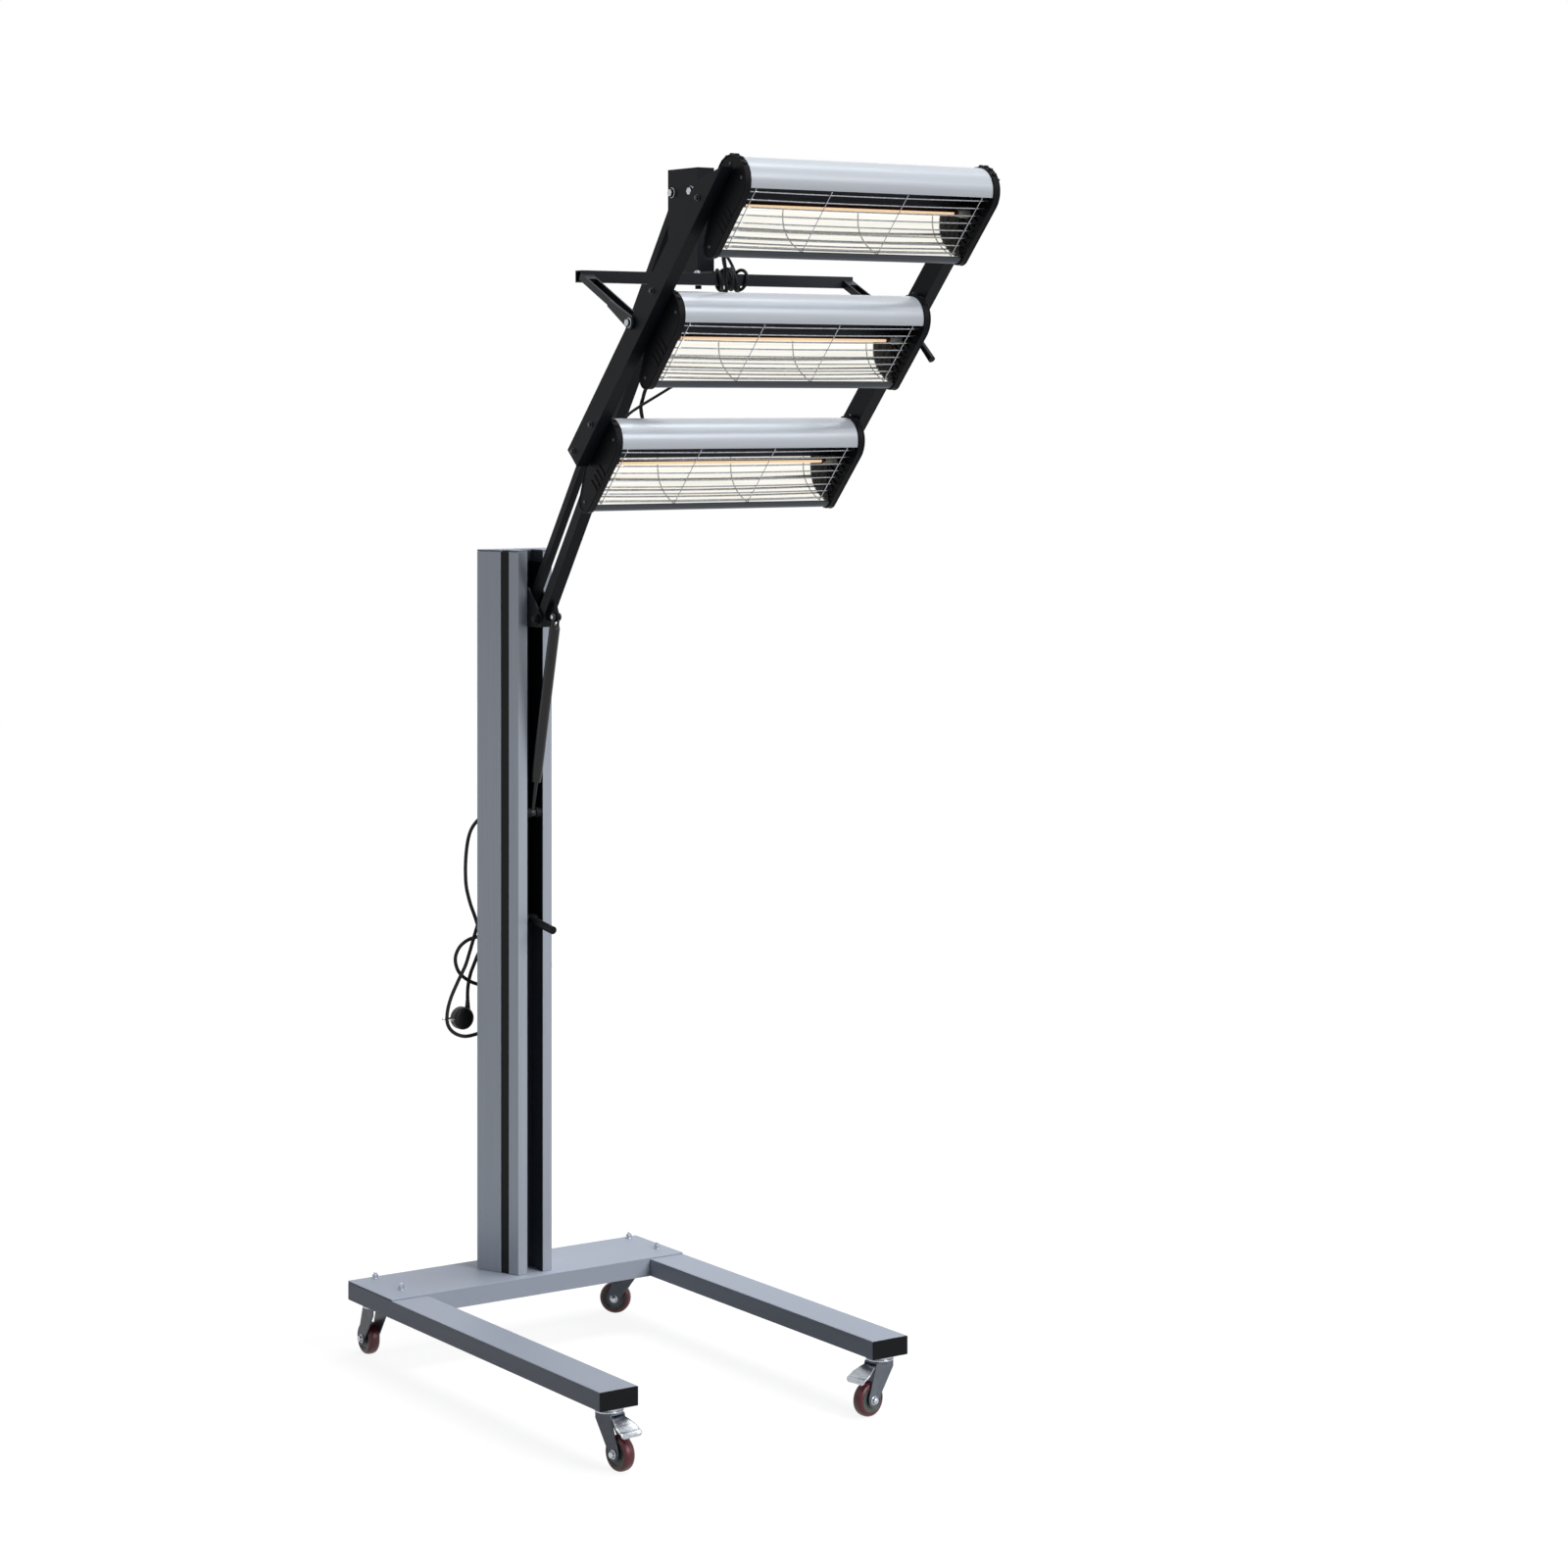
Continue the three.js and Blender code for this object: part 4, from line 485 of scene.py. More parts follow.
for label in ("front_left", "front_right", "rear_left", "rear_right"):
    castor = "castor_" + label
    wheel = "wheel_" + label
    wheel_body = "wheel_body_" + label
    axle = np.array(joints["roll_" + label]["axis"], float)
    axle /= np.linalg.norm(axle)
    middle = middle_of(wheel)
    dressed(castor + "_pressing", "castor_fork_" + label, castor, "zinc_steel", passivated, 0.9, 3)
    carried(lathed(wheel + "_tread", middle, axle, tread, 1.5, maroon_tread, 64, 5), wheel_body,
            "maroon_wheel", wheel)
    carried(lathed(wheel + "_hub", middle, axle, hub, 0.7, grey_hub, 48), wheel_body, "maroon_wheel")
    head = (*pivot_of("swivel_" + label)[:2], race_top)
    carried(lathed(castor + "_race", head, (0, 0, -1), race, 0.6, zinc_plate, 48), castor, "zinc_steel")
    nuts = [lathed("nut", middle + axle * s * fork_half_width, axle * s, axle_nut, 0.6, zinc_plate, 24)
            for s in (-1, 1)]
    grouped(castor + "_axle_nuts", nuts, castor, "zinc_steel")


def line_normals(line):
    """The direction square to a flat line at each of its points."""
    slope = unit(np.gradient(line, axis=0))
    return np.stack([slope[:, 1], -slope[:, 0]], 1)


def sheet_faces(rows, around):
    """Faces of a sheet whose every row of points runs along one side and back along the other:
    the walls between the rows, and a strip of faces across each end."""
    ends = [[i, around - 1 - i, around - 2 - i, i + 1] for i in range(around // 2 - 1)]
    last = (rows - 1) * around
    return ring_faces(rows, around) + ends + [[last + v for v in face[::-1]] for face in ends]


def brake_pedal(name, pivot, ahead, across):
    """A sheet 2.6 mm thick: its middle line falls away from the hinge and turns down in a lip,
    its width grows from 22 mm at the hinge to 46 mm at the lip, and its corners are rounded."""
    half_sheet, crown, hinge_half, widening, corner_cut = 1.3, 1.2, 11, 12, 5
    line = smooth_path([(6, 0, 3.2), (-8, 0, 4.4), (-24, 0, 0.8), (-40, 0, -7.2), (-53, 0, -14.6),
                        (-57.6, 0, -16.6), (-59.4, 0, -19.2), (-59.8, 0, -25)], 1.5)[:, [0, 2]]
    along = np.linspace(0, 1, len(line))
    half = hinge_half + widening * np.clip((along - 0.12) / 0.55, 0, 1) ** 1.4
    half -= corner_cut * np.clip((along - 0.9) / 0.1, 0, 1) ** 3
    normal = line_normals(line)
    share = np.linspace(-1, 1, 13)
    arch = (crown * (1 - share ** 2))[None, :, None]
    top = line[:, None] + normal[:, None] * (-half_sheet - arch)
    under = line[:, None] + normal[:, None] * (half_sheet - arch)
    wide = half[:, None] * share[None]
    grid = np.concatenate([np.dstack([top, wide]), np.dstack([under, wide])[:, ::-1]], 1)
    flat = grid.reshape(-1, 3) / 1000.0
    points = pivot - flat[:, :1] * ahead + flat[:, 1:2] * (0, 0, 1) + flat[:, 2:] * across
    piece = faced_out(put(name, points, sheet_faces(*grid.shape[:2]), zinc_plate))
    return soft_edged(piece, 0.5, 2, 50, harden=False)


barrel_outline = [(2.8, 0), (5.5, 0), (5.5, 27.4), (2.8, 27.4), (2.8, 0)]
for label in ("front_left", "front_right"):
    node = "brake_pedal_" + label
    body = "pedal_body_" + label
    across = np.array(joints["brake_" + label]["axis"], float)
    pivot = pivot_of("brake_" + label)
    out = middle_of(node) - pivot
    ahead = np.cross(across, (0, 0, 1.0))
    ahead *= np.sign(ahead @ out) / np.linalg.norm(ahead)
    carried(brake_pedal("pedal_plate_" + label, pivot, ahead, across), body, "zinc_steel", node)
    barrel = lathed("pedal_barrel_" + label, pivot - across * 0.0137, across, barrel_outline, 0.5,
                    zinc_plate, 24)
    carried(barrel, body, "zinc_steel")


# Column: a tapering aluminium extrusion, anodised, with drawing lines up its length, a sheet cap,
# and a black rubber strip pressed into the groove of each side.
column_finish = mottled("anodised aluminium extrusion", 0x9fa6b1, 0xaab1bc, 0.0012, 0.12, 0.00006,
                        (1, 1, 260), (0.34, 0.46), metallic=0.35, specular=0.3)
strip_rubber = mottled("extruded black rubber strip", 0x0b0c0e, 0x141518, 0.002, 0.1, stretch=(1, 1, 60),
                       rough=(0.5, 0.65), specular=0.2)
# The channel in its front, where the carriage runs, gets a darker colour: painted shade, for the shadow that
# the carriage and the channel's walls cast in it.
channel_painted_shade = mottled(
    "painted shade in column channel", 0x4b5058, 0x555a63, 0.002, 0.1, rough=(0.5, 0.62), specular=0.1)
column = rounded("column_extrusion", "column", column_finish, 0.7, 2, 25)
column.data.materials.append(channel_painted_shade)
channel_half_width, channel_depth, front_margin = 0.0236, 0.058, 0.001
column_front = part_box("column")[0].y
# Faces inside the channel, all but those that face up or down, take the painted shade.
for face in column.data.polygons:
    depth = face.center.y - column_front
    inside = abs(face.center.x) < channel_half_width and front_margin < depth < channel_depth
    if inside and abs(face.normal.z) < 0.5:
        face.material_index = 1
carried(column, "base", "column_aluminium", "column")
dressed("column_cap_sheet", "column_cap", "base", "grey_paint", grey_coat, 0.6, 2, 25)
for side, _ in hands:
    node = "side_strip_" + side
    dressed(node + "_rubber", node, "base", "black_rubber", strip_rubber, 0.6)


# Control panel: black coated sheet held by nickel screws, with rocker switches in bezels, a
# selector knob, a thermostat dial, and plain white printing beside each.
bezel_height = 0.002
panel_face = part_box("control_panel")[1].y - bezel_height
panel_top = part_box("control_panel")[1].z
panel_coat = mottled(
    "satin black sheet enamel", 0x121316, 0x191a1d, 0.001, 0.1, 0.00006, rough=(0.36, 0.46), specular=0.25)
dressed("control_panel_sheet", "control_panel", "base", "black_panel", panel_coat, 0.35)
white_print = mottled("white screen print", 0xd9dadc, 0xe4e5e6, 0.0008, rough=(0.5, 0.6))


def block(name, low, high, finish):
    """A box between two corners."""
    points = [[(low, high)[end][axis] for axis, end in enumerate(ends)] for ends in np.ndindex(2, 2, 2)]
    faces = [(0, 1, 3, 2), (4, 6, 7, 5), (0, 4, 5, 1), (2, 3, 7, 6), (0, 2, 6, 4), (1, 5, 7, 3)]
    return put(name, points, faces, finish, smooth=False)


screw_outline = [(0, -0.5), (4.6, -0.5), (4.6, 0.4), (4.0, 1.6), (2.4, 2.5), (1.0, 2.6), (0, 2.6)]
screw_pitch = 0.153
cross_face = panel_face + 0.00262
# Each screw head gets a thin black cross: painted shade, for the shadow in its cross recess, which is not
# modelled.
cross_arm, cross_half_width, film = 0.0021, 0.0005, 0.0001
screws, recess_shade_crosses = [], []
for x in (-0.047, 0.047):
    for z in np.arange(panel_top - 0.008, tray_top + 0.02, -screw_pitch):
        screws.append(lathed("screw", (x, panel_face, z), (0, 1, 0), screw_outline, 0.4, nickel_plate, 24))
        for dx, dz in ((cross_arm, cross_half_width), (cross_half_width, cross_arm)):
            recess_shade_crosses.append(block("cross", (x - dx, cross_face - film, z - dz), (x + dx, cross_face, z + dz),
                                 flex_rubber))
grouped("panel_screws", screws, "base", "bright_steel")
grouped("panel_screw_recess_shade", recess_shade_crosses, "base", "black_plastic")


def printed(words, place, height, finish=white_print, turn=0.0, about=(0.0, 0.0)):
    """Flat lettering a tenth of a millimetre thick on a face that looks to the rear: the letters
    run towards -X, turned about a point in the plane of the face."""
    font = bpy.data.curves.new("print", "FONT")
    font.body = words
    font.size = height
    font.extrude = 0.00006
    font.align_x = "CENTER"
    font.align_y = "CENTER"
    held = bpy.data.objects.new("print", font)
    scene.collection.objects.link(held)
    mesh = bpy.data.meshes.new_from_object(held.evaluated_get(bpy.context.evaluated_depsgraph_get()))
    bpy.data.objects.remove(held)
    across, along, out = points_of(mesh).T
    c, s = math.cos(turn), math.sin(turn)
    u = about[0] + across * c - along * s
    v = about[1] + across * s + along * c
    points = np.stack([place[0] - u, place[1] + out, place[2] + v], 1)
    return put("print", points, [face.vertices for face in mesh.polygons], finish)


def on_circle(radius, angle):
    return radius * math.cos(angle), radius * math.sin(angle)


words = []
rockers = [("lamp_rocker_%d" % number, "rocker_body_%d" % number, 1.0) for number in (1, 2, 3)]
for node, body, size in rockers + [("main_rocker", "main_rocker_body", 1.35)]:
    x, _, z = middle_of(node)
    away = 0.0165 + 0.0055 * size
    for word, height in (("ON", z + away), ("OFF", z - away)):
        words.append(printed(word, (x, panel_face, height), 0.0062 * size))
    dressed(node + "_moulding", node, body, "black_plastic", black_nylon, 0.5, 3)
x, _, z = middle_of("selector_knob")
for step, angle in enumerate(np.radians([60, 20, -20, -60])):
    words.append(printed(str(step), (x, panel_face, z), 0.0075, about=on_circle(0.0315, angle)))
x, _, z = middle_of("dial_ring")
words.append(printed("°C", (x, panel_face, z), 0.011, about=(0.037, 0.0)))
grouped("panel_printing", words, "base", "black_panel")
# Dial ring: spun aluminium with circular turning marks and black printed numbers.
spun_aluminium = mottled(
    "spun aluminium dial", 0xa5a7ab, 0xc2c4c8, 0.0006, 0.1, 0.00004, (1, 30, 1), (0.28, 0.4), metallic=0.8)
ring_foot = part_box("dial_ring")[0].y
ring_outline = [(0, 0), (24.5, 0), (24.5, 1.2), (24, 1.5), (0, 1.5)]
carried(lathed("dial_plate", (x, ring_foot, z), (0, 1, 0), ring_outline, 0.3, spun_aluminium, 96), "base",
        "dial_silver", "dial_ring")
numbers = []
for step in range(10):
    turn = math.radians(225 - 30 * step)
    numbers.append(printed(str(30 + 10 * step), (x, ring_foot + 0.00152, z), 0.0046, flex_rubber,
                           turn - math.pi / 2, on_circle(0.0205, turn)))
grouped("dial_numbers", numbers, "base", "dial_silver")
knob_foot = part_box("thermostat_knob")[0].y
knob_base = (x, knob_foot, z)
grip_outline = [(0, 0), (16.5, 0), (16.3, 1.5), (15.4, 2.4), (15.0, 15.5), (13.6, 17), (0, 17)]
knob = lathed("thermostat_grip", knob_base, (0, 1, 0), grip_outline, 0.8, black_nylon, 72)
# The grip is fluted above its foot: 24 shallow grooves, as a wave on the radius.
flutes, flute_depth = 24, 0.035
spots = points_of(knob.data) - knob_base
fluted = (np.hypot(spots[:, 0], spots[:, 2]) > 0.0128) & (spots[:, 1] > 0.002)
wave = 0.5 - 0.5 * np.cos(flutes * np.arctan2(spots[:, 2], spots[:, 0]))
spots[:, [0, 2]] *= (1 - flute_depth * wave * fluted)[:, None]
knob.data.vertices.foreach_set("co", (spots + knob_base).ravel())
carried(knob, "thermostat_body", "black_plastic", "thermostat_knob")
cap_outline = [(0, 16), (12.2, 16), (12.2, 17.8), (11.2, 18.4), (0, 18.6)]
carried(lathed("thermostat_cap", knob_base, (0, 1, 0), cap_outline, 0.4, spun_aluminium, 64),
        "thermostat_body", "dial_silver")
mark = block("thermostat_mark", (x - 0.0004, knob_foot + 0.01862, z + 0.004),
             (x + 0.0004, knob_foot + 0.0187, z + 0.0112), flex_rubber)
carried(mark, "thermostat_body", "black_plastic")
phenolic = mottled("glossy moulded phenolic", 0x0c0d0f, 0x121316, 0.003, rough=(0.12, 0.2), specular=0.4)
dressed("selector_moulding", "selector_knob", "selector_body", "black_plastic", phenolic, 1.6, 4, 30)
dressed("cord_hook_bar", "cord_hook", "base", "bright_steel", zinc_plate, 0.5)


# Carriage and lock lever: a steel channel with welded ears that runs inside the column, powder
# coated black, and a nylon lever in its lower end that clamps it.
black_coat = mottled("black powder coat", 0x15171c, 0x1b1e24, 0.0014, 0.14, rough=(0.38, 0.5), specular=0.09)
dressed("carriage_channel", "carriage", "carriage_body", "black_paint", black_coat, 0.7)
dressed("lock_lever_moulding", "lock_lever", "lock_lever_body", "black_plastic", black_nylon, 1.2, 3)


# Arms: a 25 mm square steel tube with a welded lug, and a thinner link behind it, both powder
# coated black, with black pivot bolts and washers at the carriage.
for arm, edge in (("main_arm", 1.2), ("link_arm", 1.0)):
    dressed(arm + "_tube", arm, arm + "_body", "black_paint", black_coat, edge, 3)


def bolt_head(name, place, axis, body, size=1.0, finish=zinc_plate):
    """A washer, a six-sided head and its slightly domed end, turned on one axis."""
    disc = [(0, -0.2), (10 * size, -0.2), (10 * size, 1.4), (9.4 * size, 1.8), (0, 1.8)]
    head = [(0, 1.7), (7.2 * size, 1.7), (7.4 * size, 2.1), (7.4 * size, 6.2 * size),
            (6.6 * size, 7 * size), (0, 7 * size)]
    parts = [lathed("washer", place, axis, disc, 0.3, finish, 32),
             lathed("six", place, axis, head, 0.3, finish, 6)]
    grouped(name, parts, body, "zinc_steel")


ear_face = 0.0195
for label, side in hands:
    bolt_head("arm_pivot_bolt_" + label, pivot_of("arm_lift") + (side * ear_face, 0, 0), (side, 0, 0),
              "carriage_body", 1.05, black_coat)


# Gas spring: a black enamelled steel cylinder with crimped ends, a black nitrided rod and an eye.
# Its outlines run down from the top eye, and the rod ends at the eye found in the CAD piece.
def drum(radius, low, high):
    return [(0, low), (radius, low), (radius, high), (0, high)]


top_eye = pivot_of("spring_pivot")
rod_points = points_of(frame["nodes"]["spring_rod"].data)
eye_size = 0.018
lowest = rod_points[rod_points[:, 2] < rod_points[:, 2].min() + eye_size]
foot_eye = (lowest.min(0) + lowest.max(0)) / 2
down = foot_eye - top_eye
rod_end = np.linalg.norm(down) * 1000 - 8
enamel = mottled("gloss black enamel", 0x101114, 0x15161a, 0.004, rough=(0.2, 0.3), specular=0.35)
nitrided = mottled("black nitrided steel", 0x1b1d21, 0x24262b, 0.002, rough=(0.2, 0.3), metallic=0.6)
barrel = [(0, 16), (8.4, 16), (9.2, 17), (9.6, 20), (11, 23), (11, 335), (10.2, 338), (9.9, 341), (10.6, 344),
          (9.6, 346), (5.4, 346), (5.4, 343), (0, 343)]
carried(lathed("spring_barrel", top_eye, down, barrel, 0.8, enamel, 48), "spring_cylinder_body",
        "black_paint", "spring_cylinder")
fork, pins = [], []
pin_end = [(0, 7.9), (4.8, 7.9), (4.8, 10.4), (4, 11), (0, 11)]
for side in (-1, 1):
    cheek = top_eye + (side * 0.0066, 0, 0)
    fork.append(lathed("cheek", cheek, (side, 0, 0), drum(8, -1.6, 1.6), 0.4, enamel, 32))
    fork.append(lathed("stem", cheek, down, drum(2.6, 1, 19), 0.3, enamel, 12))
    pins.append(lathed("pin", top_eye, (side, 0, 0), pin_end, 0.3, zinc_plate, 6))
grouped("spring_fork", fork, "spring_cylinder_body", "black_paint")
grouped("spring_pin", pins, "spring_cylinder_body", "zinc_steel")
carried(lathed("spring_rod_bar", top_eye, down, drum(5, 290, rod_end), 0.3, nitrided, 32), "spring_rod_body",
        "bright_steel", "spring_rod")
eye_outline = [(0, 0), (8.4, 0), (9, 0.6), (9, 9.4), (8.4, 10), (0, 10)]
carried(lathed("spring_foot_eye", foot_eye - (0.005, 0, 0), (1, 0, 0), eye_outline, 0.4, nitrided, 32),
        "spring_rod_body", "bright_steel")


# Head bracket and yoke: a folded black box on the arms' upper pivots, a square cross-bar below
# it on one swivel bolt, and two channel struts with the tilt pins, powder coated black.
dressed("head_bracket_box", "head_bracket", "bracket_body", "black_paint", black_coat, 1.2, 3)
satin_black = mottled(
    "satin black powder coat", 0x1b1e24, 0x22252c, 0.0014, 0.12, rough=(0.3, 0.4), specular=0.22)
dressed("yoke_frame", "yoke", "yoke_body", "black_paint", satin_black, 1.0, 3)
bracket_face = 0.0187
link_behind_arm = 0.066
for place, back in (("front", 0.0), ("rear", link_behind_arm)):
    for label, side in hands:
        bolt_head("bracket_bolt_%s_%s" % (place, label),
                  pivot_of("bracket_level") + (side * bracket_face, back, 0), (side, 0, 0), "bracket_body")
tilt_place = pivot_of("head_tilt")
bar_y = pivot_of("head_swivel")[1] - 0.0655
bar_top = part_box("yoke")[1].z - 0.0044
bolt_head("bar_bolt_left", (-0.045, bar_y, bar_top), (0, 0, 1), "yoke_body", 0.7)
dressed("tilt_clamp_moulding", "tilt_lever", "tilt_lever_body", "black_plastic", black_nylon, 1.4, 3)
bolt_head("tilt_bolt", (-0.3078, *tilt_place[1:]), (-1, 0, 0), "yoke_body", 0.9)


# Head rails: two 44 x 25 mm steel tubes with slanted tops, powder coated black, that hold the
# cassettes with small screws. They turn on the tilt pins of the yoke.
lean = math.radians(42.5)


def in_head(points):
    """Places in the head's own frame, in mm along X, out of the back and up the rails from the
    tilt axis, turned back by the lean about X and moved to the tilt axis."""
    x, back, up = (np.asarray(points, float) / 1000.0).T
    return np.stack([x, tilt_place[1] + back * math.cos(lean) - up * math.sin(lean),
                     tilt_place[2] + back * math.sin(lean) + up * math.cos(lean)], 1)


def rail_screws(name, x, facing, places, outline, corner, finish, sides):
    """Screws on both rails, at places as ahead and up, that face out (1) or in (-1)."""
    screws = [lathed("screw", in_head([(side * x, -ahead, up)])[0], (side * facing, 0, 0), outline, corner,
                     finish, sides) for side in (-1, 1) for ahead, up in places]
    grouped(name, screws, "head_body", "zinc_steel")


for side, _ in hands:
    dressed("head_rail_" + side, "rail_" + side, "head_body", "black_paint", black_coat, 1.2, 3)
# Outer screws: steel, blackened, with worn bright corners. Inner ones: bright zinc plate.
dark_steel = mottled(
    "blackened steel screw", 0x383b41, 0x565a61, 0.002, 0.05, rough=(0.25, 0.4), metallic=0.6, specular=0.3)
outer_head = [(0, -0.3), (6, -0.3), (6, 0.9), (4.3, 1.2), (4.3, 3.8), (3, 4.8), (0, 5)]
inner_head = [(0, -0.2), (5, -0.2), (5, 0.8), (3.6, 1.1), (3.6, 3.4), (2.8, 4.2), (0, 4.4)]
outer_places = ((14, 300), (12, 85), (20, -228), (8, -305))
rail_screws("rail_screws", 302.1, 1, outer_places, outer_head, 0.5, dark_steel, 24)
rail_screws("rail_inner_bolts", 277.1, -1, ((5, 82), (9, -221)), inner_head, 0.4, zinc_plate, 20)


# Lamp cassettes: an aluminium cover rolled round a polished reflector, with a dark sheet behind the lamp
# and a dark lip below, both painted shade, between two black moulded end plates. Places in a cassette
# are in mm: across, back from its mouth and up from its seat on the rails.
top_circle = np.array([41.0, 62.0])
top_radius = 43.0
foot_circle = np.array([15.0, -64.0])
foot_radius = 17.0
half_length = 262.0
mouth_ahead = 84
seat_pitch, seat_shift = 306, -6
between = foot_circle - top_circle
rear_turn = math.degrees(-math.atan2(-between[0], -between[1])
                         - math.asin((top_radius - foot_radius) / np.hypot(*between)))


def arc(middle, radius, start, end, steps):
    turn = np.radians(np.linspace(start, end, steps + 1))
    return middle + radius * np.stack([np.cos(turn), np.sin(turn)], 1)


def seat_points(x, back, up, seat):
    spots = np.broadcast_arrays(x, np.subtract(back, mouth_ahead), np.add(up, seat))
    return in_head(np.stack(spots, -1).reshape(-1, 3))


def sheet_strip(name, line, wall, reach, seat, finish, spans=1):
    """A sheet carried along X: its middle line, as back and up in a cassette, gets half the wall
    on either side, and both long edges and both ends are closed."""
    normal = line_normals(line) * wall / 2
    loop = np.vstack([line + normal, (line - normal)[::-1]])
    back, up = np.tile(loop, (spans + 1, 1)).T
    x = np.repeat(np.linspace(-reach, reach, spans + 1), len(loop))
    piece = put(name, seat_points(x, back, up, seat), sheet_faces(spans + 1, len(loop)), finish)
    return soft_edged(faced_out(piece), 0.3, 1, 50)


# Satin aluminium: brushed along the cassette, under a clear lacquer that hides most of the grain.
satin_aluminium = mottled("clear-lacquered satin aluminium", 0xc4cad3, 0xc9cfd8, 0.004, 0.012, 0.00004,
                          (60, 1, 1), (0.22, 0.26), metallic=0.12, specular=0.95)
# Reflector: polished aluminium with rolling streaks along it; its cream colour and faint glow are painted
# light, for the lamp's warm light on it.
polished = mottled("polished reflector with painted glow", 0xf4f0e2, 0xfffefa, 0.004, 0.06, 0.0002, (45, 1, 1),
                   (0.04, 0.08), metallic=1.0, Emission_Color=linear(0xfff4dc), Emission_Strength=0.01)
# Dark sheets, both painted shade: a sheet behind the lamp for the dark reflection there, and aluminium,
# brushed along, darkened for the shade on the lip.
painted_dark_reflection = mottled("painted dark reflection sheet", 0x23262d, 0x30343d, 0.003, 0.1, stretch=(40, 1, 1),
                      rough=(0.3, 0.4), metallic=0.3, specular=0.25)
# The lip's dark colour is painted shade, for its face that looks down and forward.
lip_painted_shade = mottled("aluminium lip with painted shade", 0x3f454c, 0x4d535b, 0.001, 0.1, 0.00005, (160, 1, 1),
                   (0.35, 0.45), metallic=0.3, specular=0.3)
# End plates of matt phenolic, ceramic ends and guard wires under thin chrome plate.
end_moulding = mottled(
    "moulded black phenolic", 0x0f1014, 0x16171b, 0.0012, 0.18, rough=(0.42, 0.54), specular=0.08)
ceramic = mottled("unglazed white ceramic", 0xcfc8ba, 0xdad4c8, 0.001, 0.1, rough=(0.6, 0.75))
chromed_wire = mottled("chromed wire", 0x8d9096, 0xb9bcc2, 0.003, rough=(0.15, 0.25), metallic=0.9)
# Quartz lamp: a ruby tube, and just before its middle the glow of the coiled filament. Its bands
# are wider than the real turns, so that they show. The wave's period is 2 pi / 20 / scale.
band_spacing = 0.0025145
lit_quartz, tree, shader = finish_of("lit quartz tube", Roughness=0.2, Metallic=0.0, Emission_Strength=0.85)
bands = add(tree, "TexWave", {"bands_direction": "X"}, {"Vector": add(tree, "TexCoord").outputs["Object"]},
            Scale=2 * math.pi / 20 / band_spacing, Distortion=1.5, Detail=2.0)
lit = colour_ramp(tree, bands.outputs["Fac"], (0.0, 0xe0a76c), (1.0, 0xfff0cf))
for socket in ("Base Color", "Emission Color"):
    tree.links.new(lit, shader.inputs[socket])
ruby_quartz = mottled("ruby quartz glass", 0x5a2c22, 0x6b3828, 0.002, rough=(0.1, 0.2), specular=0.2)

cover_line = np.vstack([arc(top_circle, top_radius - 1, 155.3, rear_turn, 48),
                        arc(foot_circle, foot_radius - 1, rear_turn, -90, 12)])
lip_line = arc(foot_circle, foot_radius - 1.6, -88, -200.5, 16)


def trough(up):
    """How far back the reflector lies: a parabola about a line 30 mm above the middle, steeper
    below that line than above it."""
    return 64 - (up - 30) ** 2 / np.where(up < 30, 127.0, 198.4)


deep = np.linspace(-58.5, 5, 40)
high_line = np.linspace(5.4, 92, 20)
reflector_line = np.stack([trough(deep), deep], 1)
dark_reflection_line = np.vstack([np.stack([trough(high_line), high_line], 1),
                         arc(top_circle, top_radius - 4.4, 78, 152, 12)])
plate_line = np.vstack([arc(top_circle, top_radius + 1.6, rear_turn, 180, 40),
                        arc(foot_circle, foot_radius + 1.6, 180, 360 + rear_turn, 18)])

cassette_sheets = [
    ("cover_", cover_line, 2.0, half_length, satin_aluminium, 1),
    ("lip_", lip_line, 3.2, half_length, lip_painted_shade, 1),
    ("reflector_", reflector_line, 1.0, half_length - 1, polished, 24),
    ("painted_dark_reflection_", dark_reflection_line, 1.0, half_length - 1, painted_dark_reflection, 1)]
plate_outer = half_length + 13.0
rib_turns = (8, 26, 44, 62, 80, 98)
rib_radii = [0.0022, 0.0034, 0.0034, 0.0022]
louvre_pitch, deepest_louvre, shallowest_louvre = 13.0, 46, 12
louvre_radii = [0.0008, 0.0022, 0.0022, 0.0008]
plate_screw = [(0, -0.4), (3.4, -0.4), (3.2, 1), (2.1, 1.8), (0, 2)]
lamp_end = [(0, 0.5), (9, 0.5), (9, 18), (7.6, 19), (7.6, 26), (0, 26)]
wire_bow, wire_count = 2.5, 8


def end_plate(node, side, seat):
    """An end plate with a raised rim, cooling ribs on its upper rear edge, louvres and screws."""
    dressed(node + "_moulding", node, "head_body", "black_moulding", end_moulding, 1.6, 3, 30)
    outer = side * plate_outer
    details = [tube("rim", seat_points(outer - side * 0.8, plate_line[:, 0], plate_line[:, 1], seat), 0.0021,
                    end_moulding, 10, closed=True)]
    for turn in np.radians(rib_turns):
        spot = top_circle + on_circle(top_radius + 2.6, turn)
        across = outer - side * np.array([9.5, 8.5, 1.5, 0.5])
        details.append(tube("rib", seat_points(across, *spot, seat), rib_radii, end_moulding, 12))
    for up in np.arange(46, -62, -louvre_pitch):
        depth = min(float(trough(up)) - 5, deepest_louvre)
        if depth > shallowest_louvre:
            path = seat_points(side * (half_length - 0.4), [7, 9, depth - 2, depth], up, seat)
            details.append(tube("louvre", path, louvre_radii, end_moulding, 8))
    grouped(node + "_ribs", details, "head_body", "black_moulding")
    screws = [lathed("screw", seat_points(outer, back, up, seat)[0], (side, 0, 0), plate_screw, 0.4,
                     dark_steel, 20) for back, up in ((20, 88), (16, -64), (62, 84))]
    grouped(node + "_screws", screws, "head_body", "zinc_steel")


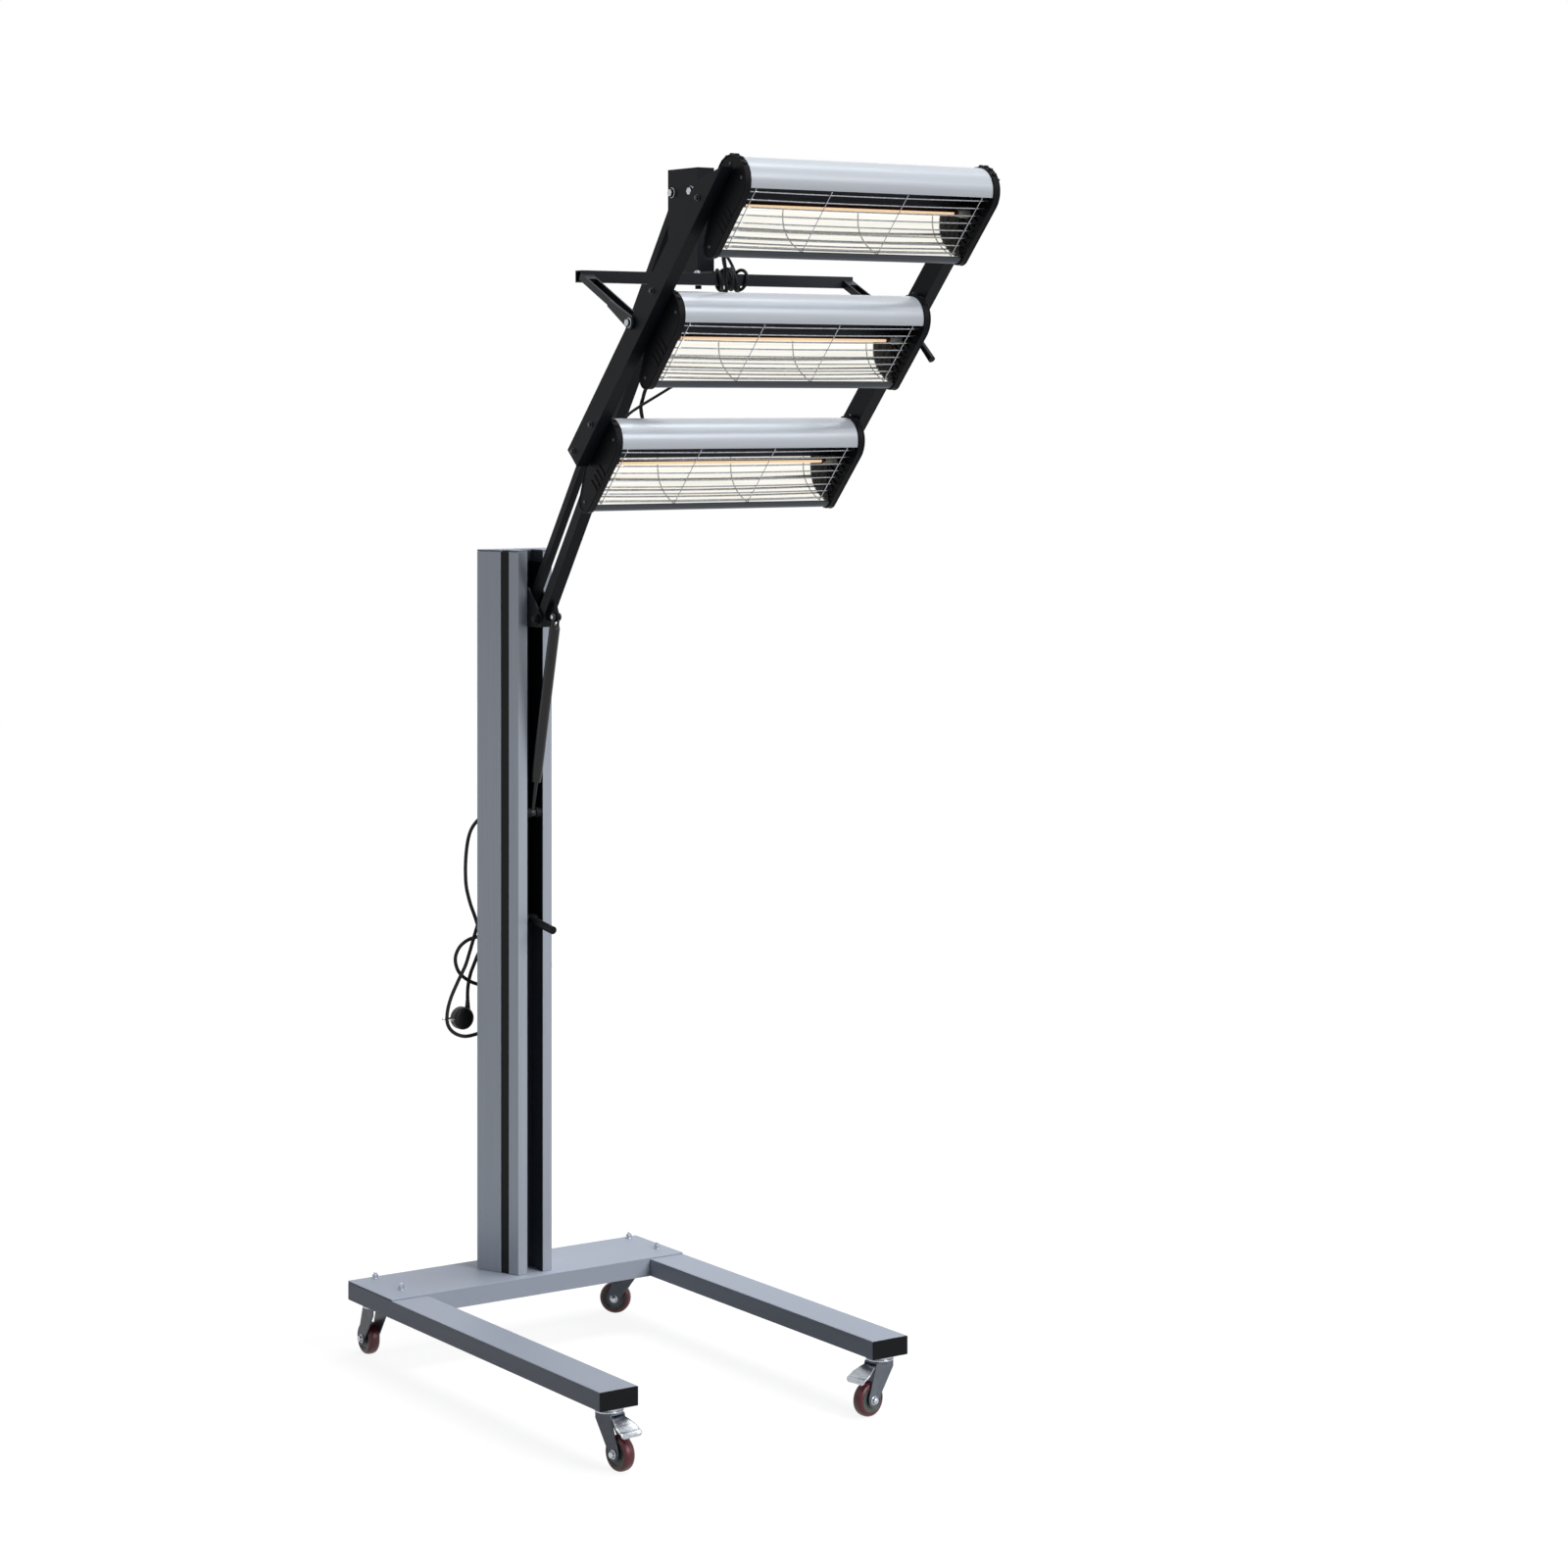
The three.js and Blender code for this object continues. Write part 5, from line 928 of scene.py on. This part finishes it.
for row, label in enumerate(("low", "middle", "top")):
    seat = (row - 1) * seat_pitch + seat_shift
    for sheet, line, wall, reach, finish, spans in cassette_sheets:
        piece = sheet_strip(sheet + label, line, wall, reach, seat, finish, spans)
        shell = ["cassette_shell_" + label] if finish == satin_aluminium else []
        carried(piece, "head_body", "black_moulding" if finish == painted_dark_reflection else "satin_aluminium", *shell)
    for hand, side in hands:
        end_plate("end_plate_%s_%s" % (label, hand), side, seat)
    # The lamp in its ceramic ends, a little above the middle of the reflector
    lamp_ends = [lathed("end", seat_points(side * half_length, 38, 14, seat)[0], (-side, 0, 0), lamp_end, 0.8,
                        ceramic, 24) for side in (-1, 1)]
    grouped("lamp_ends_" + label, lamp_ends, "head_body", "lamp_glass", "lamp_tube_" + label)
    for name, reach, back, radius, finish in (("lamp_glass_", 237, 39, 0.0052, ruby_quartz),
                                              ("lamp_glow_", 226, 36, 0.0036, lit_quartz)):
        path = seat_points(np.linspace(-reach, reach, 60), back, 14, seat)
        carried(tube(name + label, path, radius, finish, 20), "head_body", "lamp_glass")
    # The guard: long wires that bow out a little, and four cross wires on their front
    x = np.linspace(-half_length + 0.5, half_length - 0.5, 25)
    bow = wire_bow * (1 - (x / half_length) ** 2)
    wires = [tube("wire", seat_points(x, 5.2 - bow, 70 - 122 * number / (wire_count - 1), seat), 0.0013,
                  chromed_wire, 8) for number in range(wire_count)]
    grouped("guard_wires_" + label, wires, "head_body", "guard_wire", "wire_guard_" + label)
    wires = []
    for x in (-248, -90, 74, 240):
        path = seat_points(x, 3.4 - wire_bow * (1 - (x / half_length) ** 2), np.linspace(79, -58, 12), seat)
        wires.append(tube("cross", path, 0.0009, chromed_wire, 8))
    grouped("guard_cross_wires_" + label, wires, "head_body", "guard_wire")


# Lamp wiring: three rubber-covered leads, loosely twisted, that leave the top cassette, hang
# down the back of the head and run to the other two, held by small nylon ties.
wire_route = [
    (-128, -36.25, 267.8), (-128, -28.9, 264.6), (-131, 0, 250), (-136, 24, 232), (-142, 42, 204),
    (-145, 48, 168), (-142, 40, 128), (-135, 20, 96), (-131, 3.3, 68.7), (-132, 4.8, 55),
    (-134, 2.0, 39.6), (-136, -2, 14), (-140, -2, -12), (-146, 6, -50), (-156, 20, -100),
    (-168, 31, -150), (-177, 31, -186), (-180, 20, -216), (-180, 4.6, -230.8), (-180, -2.8, -233.9)]
middle_line = in_head(smooth_path(wire_route))
along = unit(np.gradient(middle_line, axis=0))
sideways = unit(np.cross(along, (1.0, 0.05, 0.0)))
third = np.cross(along, sideways)
step_length, twist_length, twist_radius = 0.004, 0.11, 0.0021
travel = np.arange(len(middle_line)) * step_length
strands = []
for number in range(3):
    turn = 2 * np.pi * (travel / twist_length + number / 3)
    offset = twist_radius * (np.cos(turn)[:, None] * sideways + np.sin(turn)[:, None] * third)
    strands.append(tube("strand", middle_line + offset, 0.0017, flex_rubber, 10))
grouped("lamp_leads", strands, "head_body", "black_rubber", "lamp_wiring")
ties = [tube("tie", middle_line[spot - 1:spot + 2], [0.0041, 0.0043, 0.0041], black_nylon, 16)
        for spot in (18, 42, 70, 96, 120)]
grouped("lead_ties", ties, "head_body", "black_rubber")
# A single lead crosses from the back of the middle cover to the top of the lower one
crossing = smooth_path([(-80, -33, -26), (-86, -22, -42), (-105, -12, -85), (-165, -10, -150),
                        (-222, -11, -208), (-232, -16, -217)])
carried(tube("crossing_lead", in_head(crossing), 0.0026, flex_rubber, 10), "head_body", "black_rubber")
# Spare lead is wound round the yoke's bar: each loop is an ellipse that leans along the bar,
# and one wider loop stands above it
bar_half = 0.011
bar_middle = np.array([0.0, bar_y, bar_top - bar_half])
around = np.linspace(0, 2 * np.pi, 48, endpoint=False)
windings = ((0.004, 0.016, 0.018, 0.009, 0.0033), (0.016, 0.018, 0.021, -0.008, 0.003),
            (0.027, 0.016, 0.018, 0.006, 0.0034), (0.038, 0.019, 0.022, 0.012, 0.0028),
            (0.050, 0.016, 0.019, -0.006, 0.0032), (0.030, 0.017, 0.034, 0.026, 0.0028))
loops = []
for x, wide, high, slant, thick in windings:
    ring = np.stack([x + slant * np.cos(around + 0.6), wide * np.cos(around), high * np.sin(around)], 1)
    ring[:, 2] += max(high - 0.021, 0)
    loops.append(tube("loop", bar_middle + ring, thick, flex_rubber, 10, closed=True))
grouped("spare_lead_loops", loops, "yoke_body", "black_rubber")
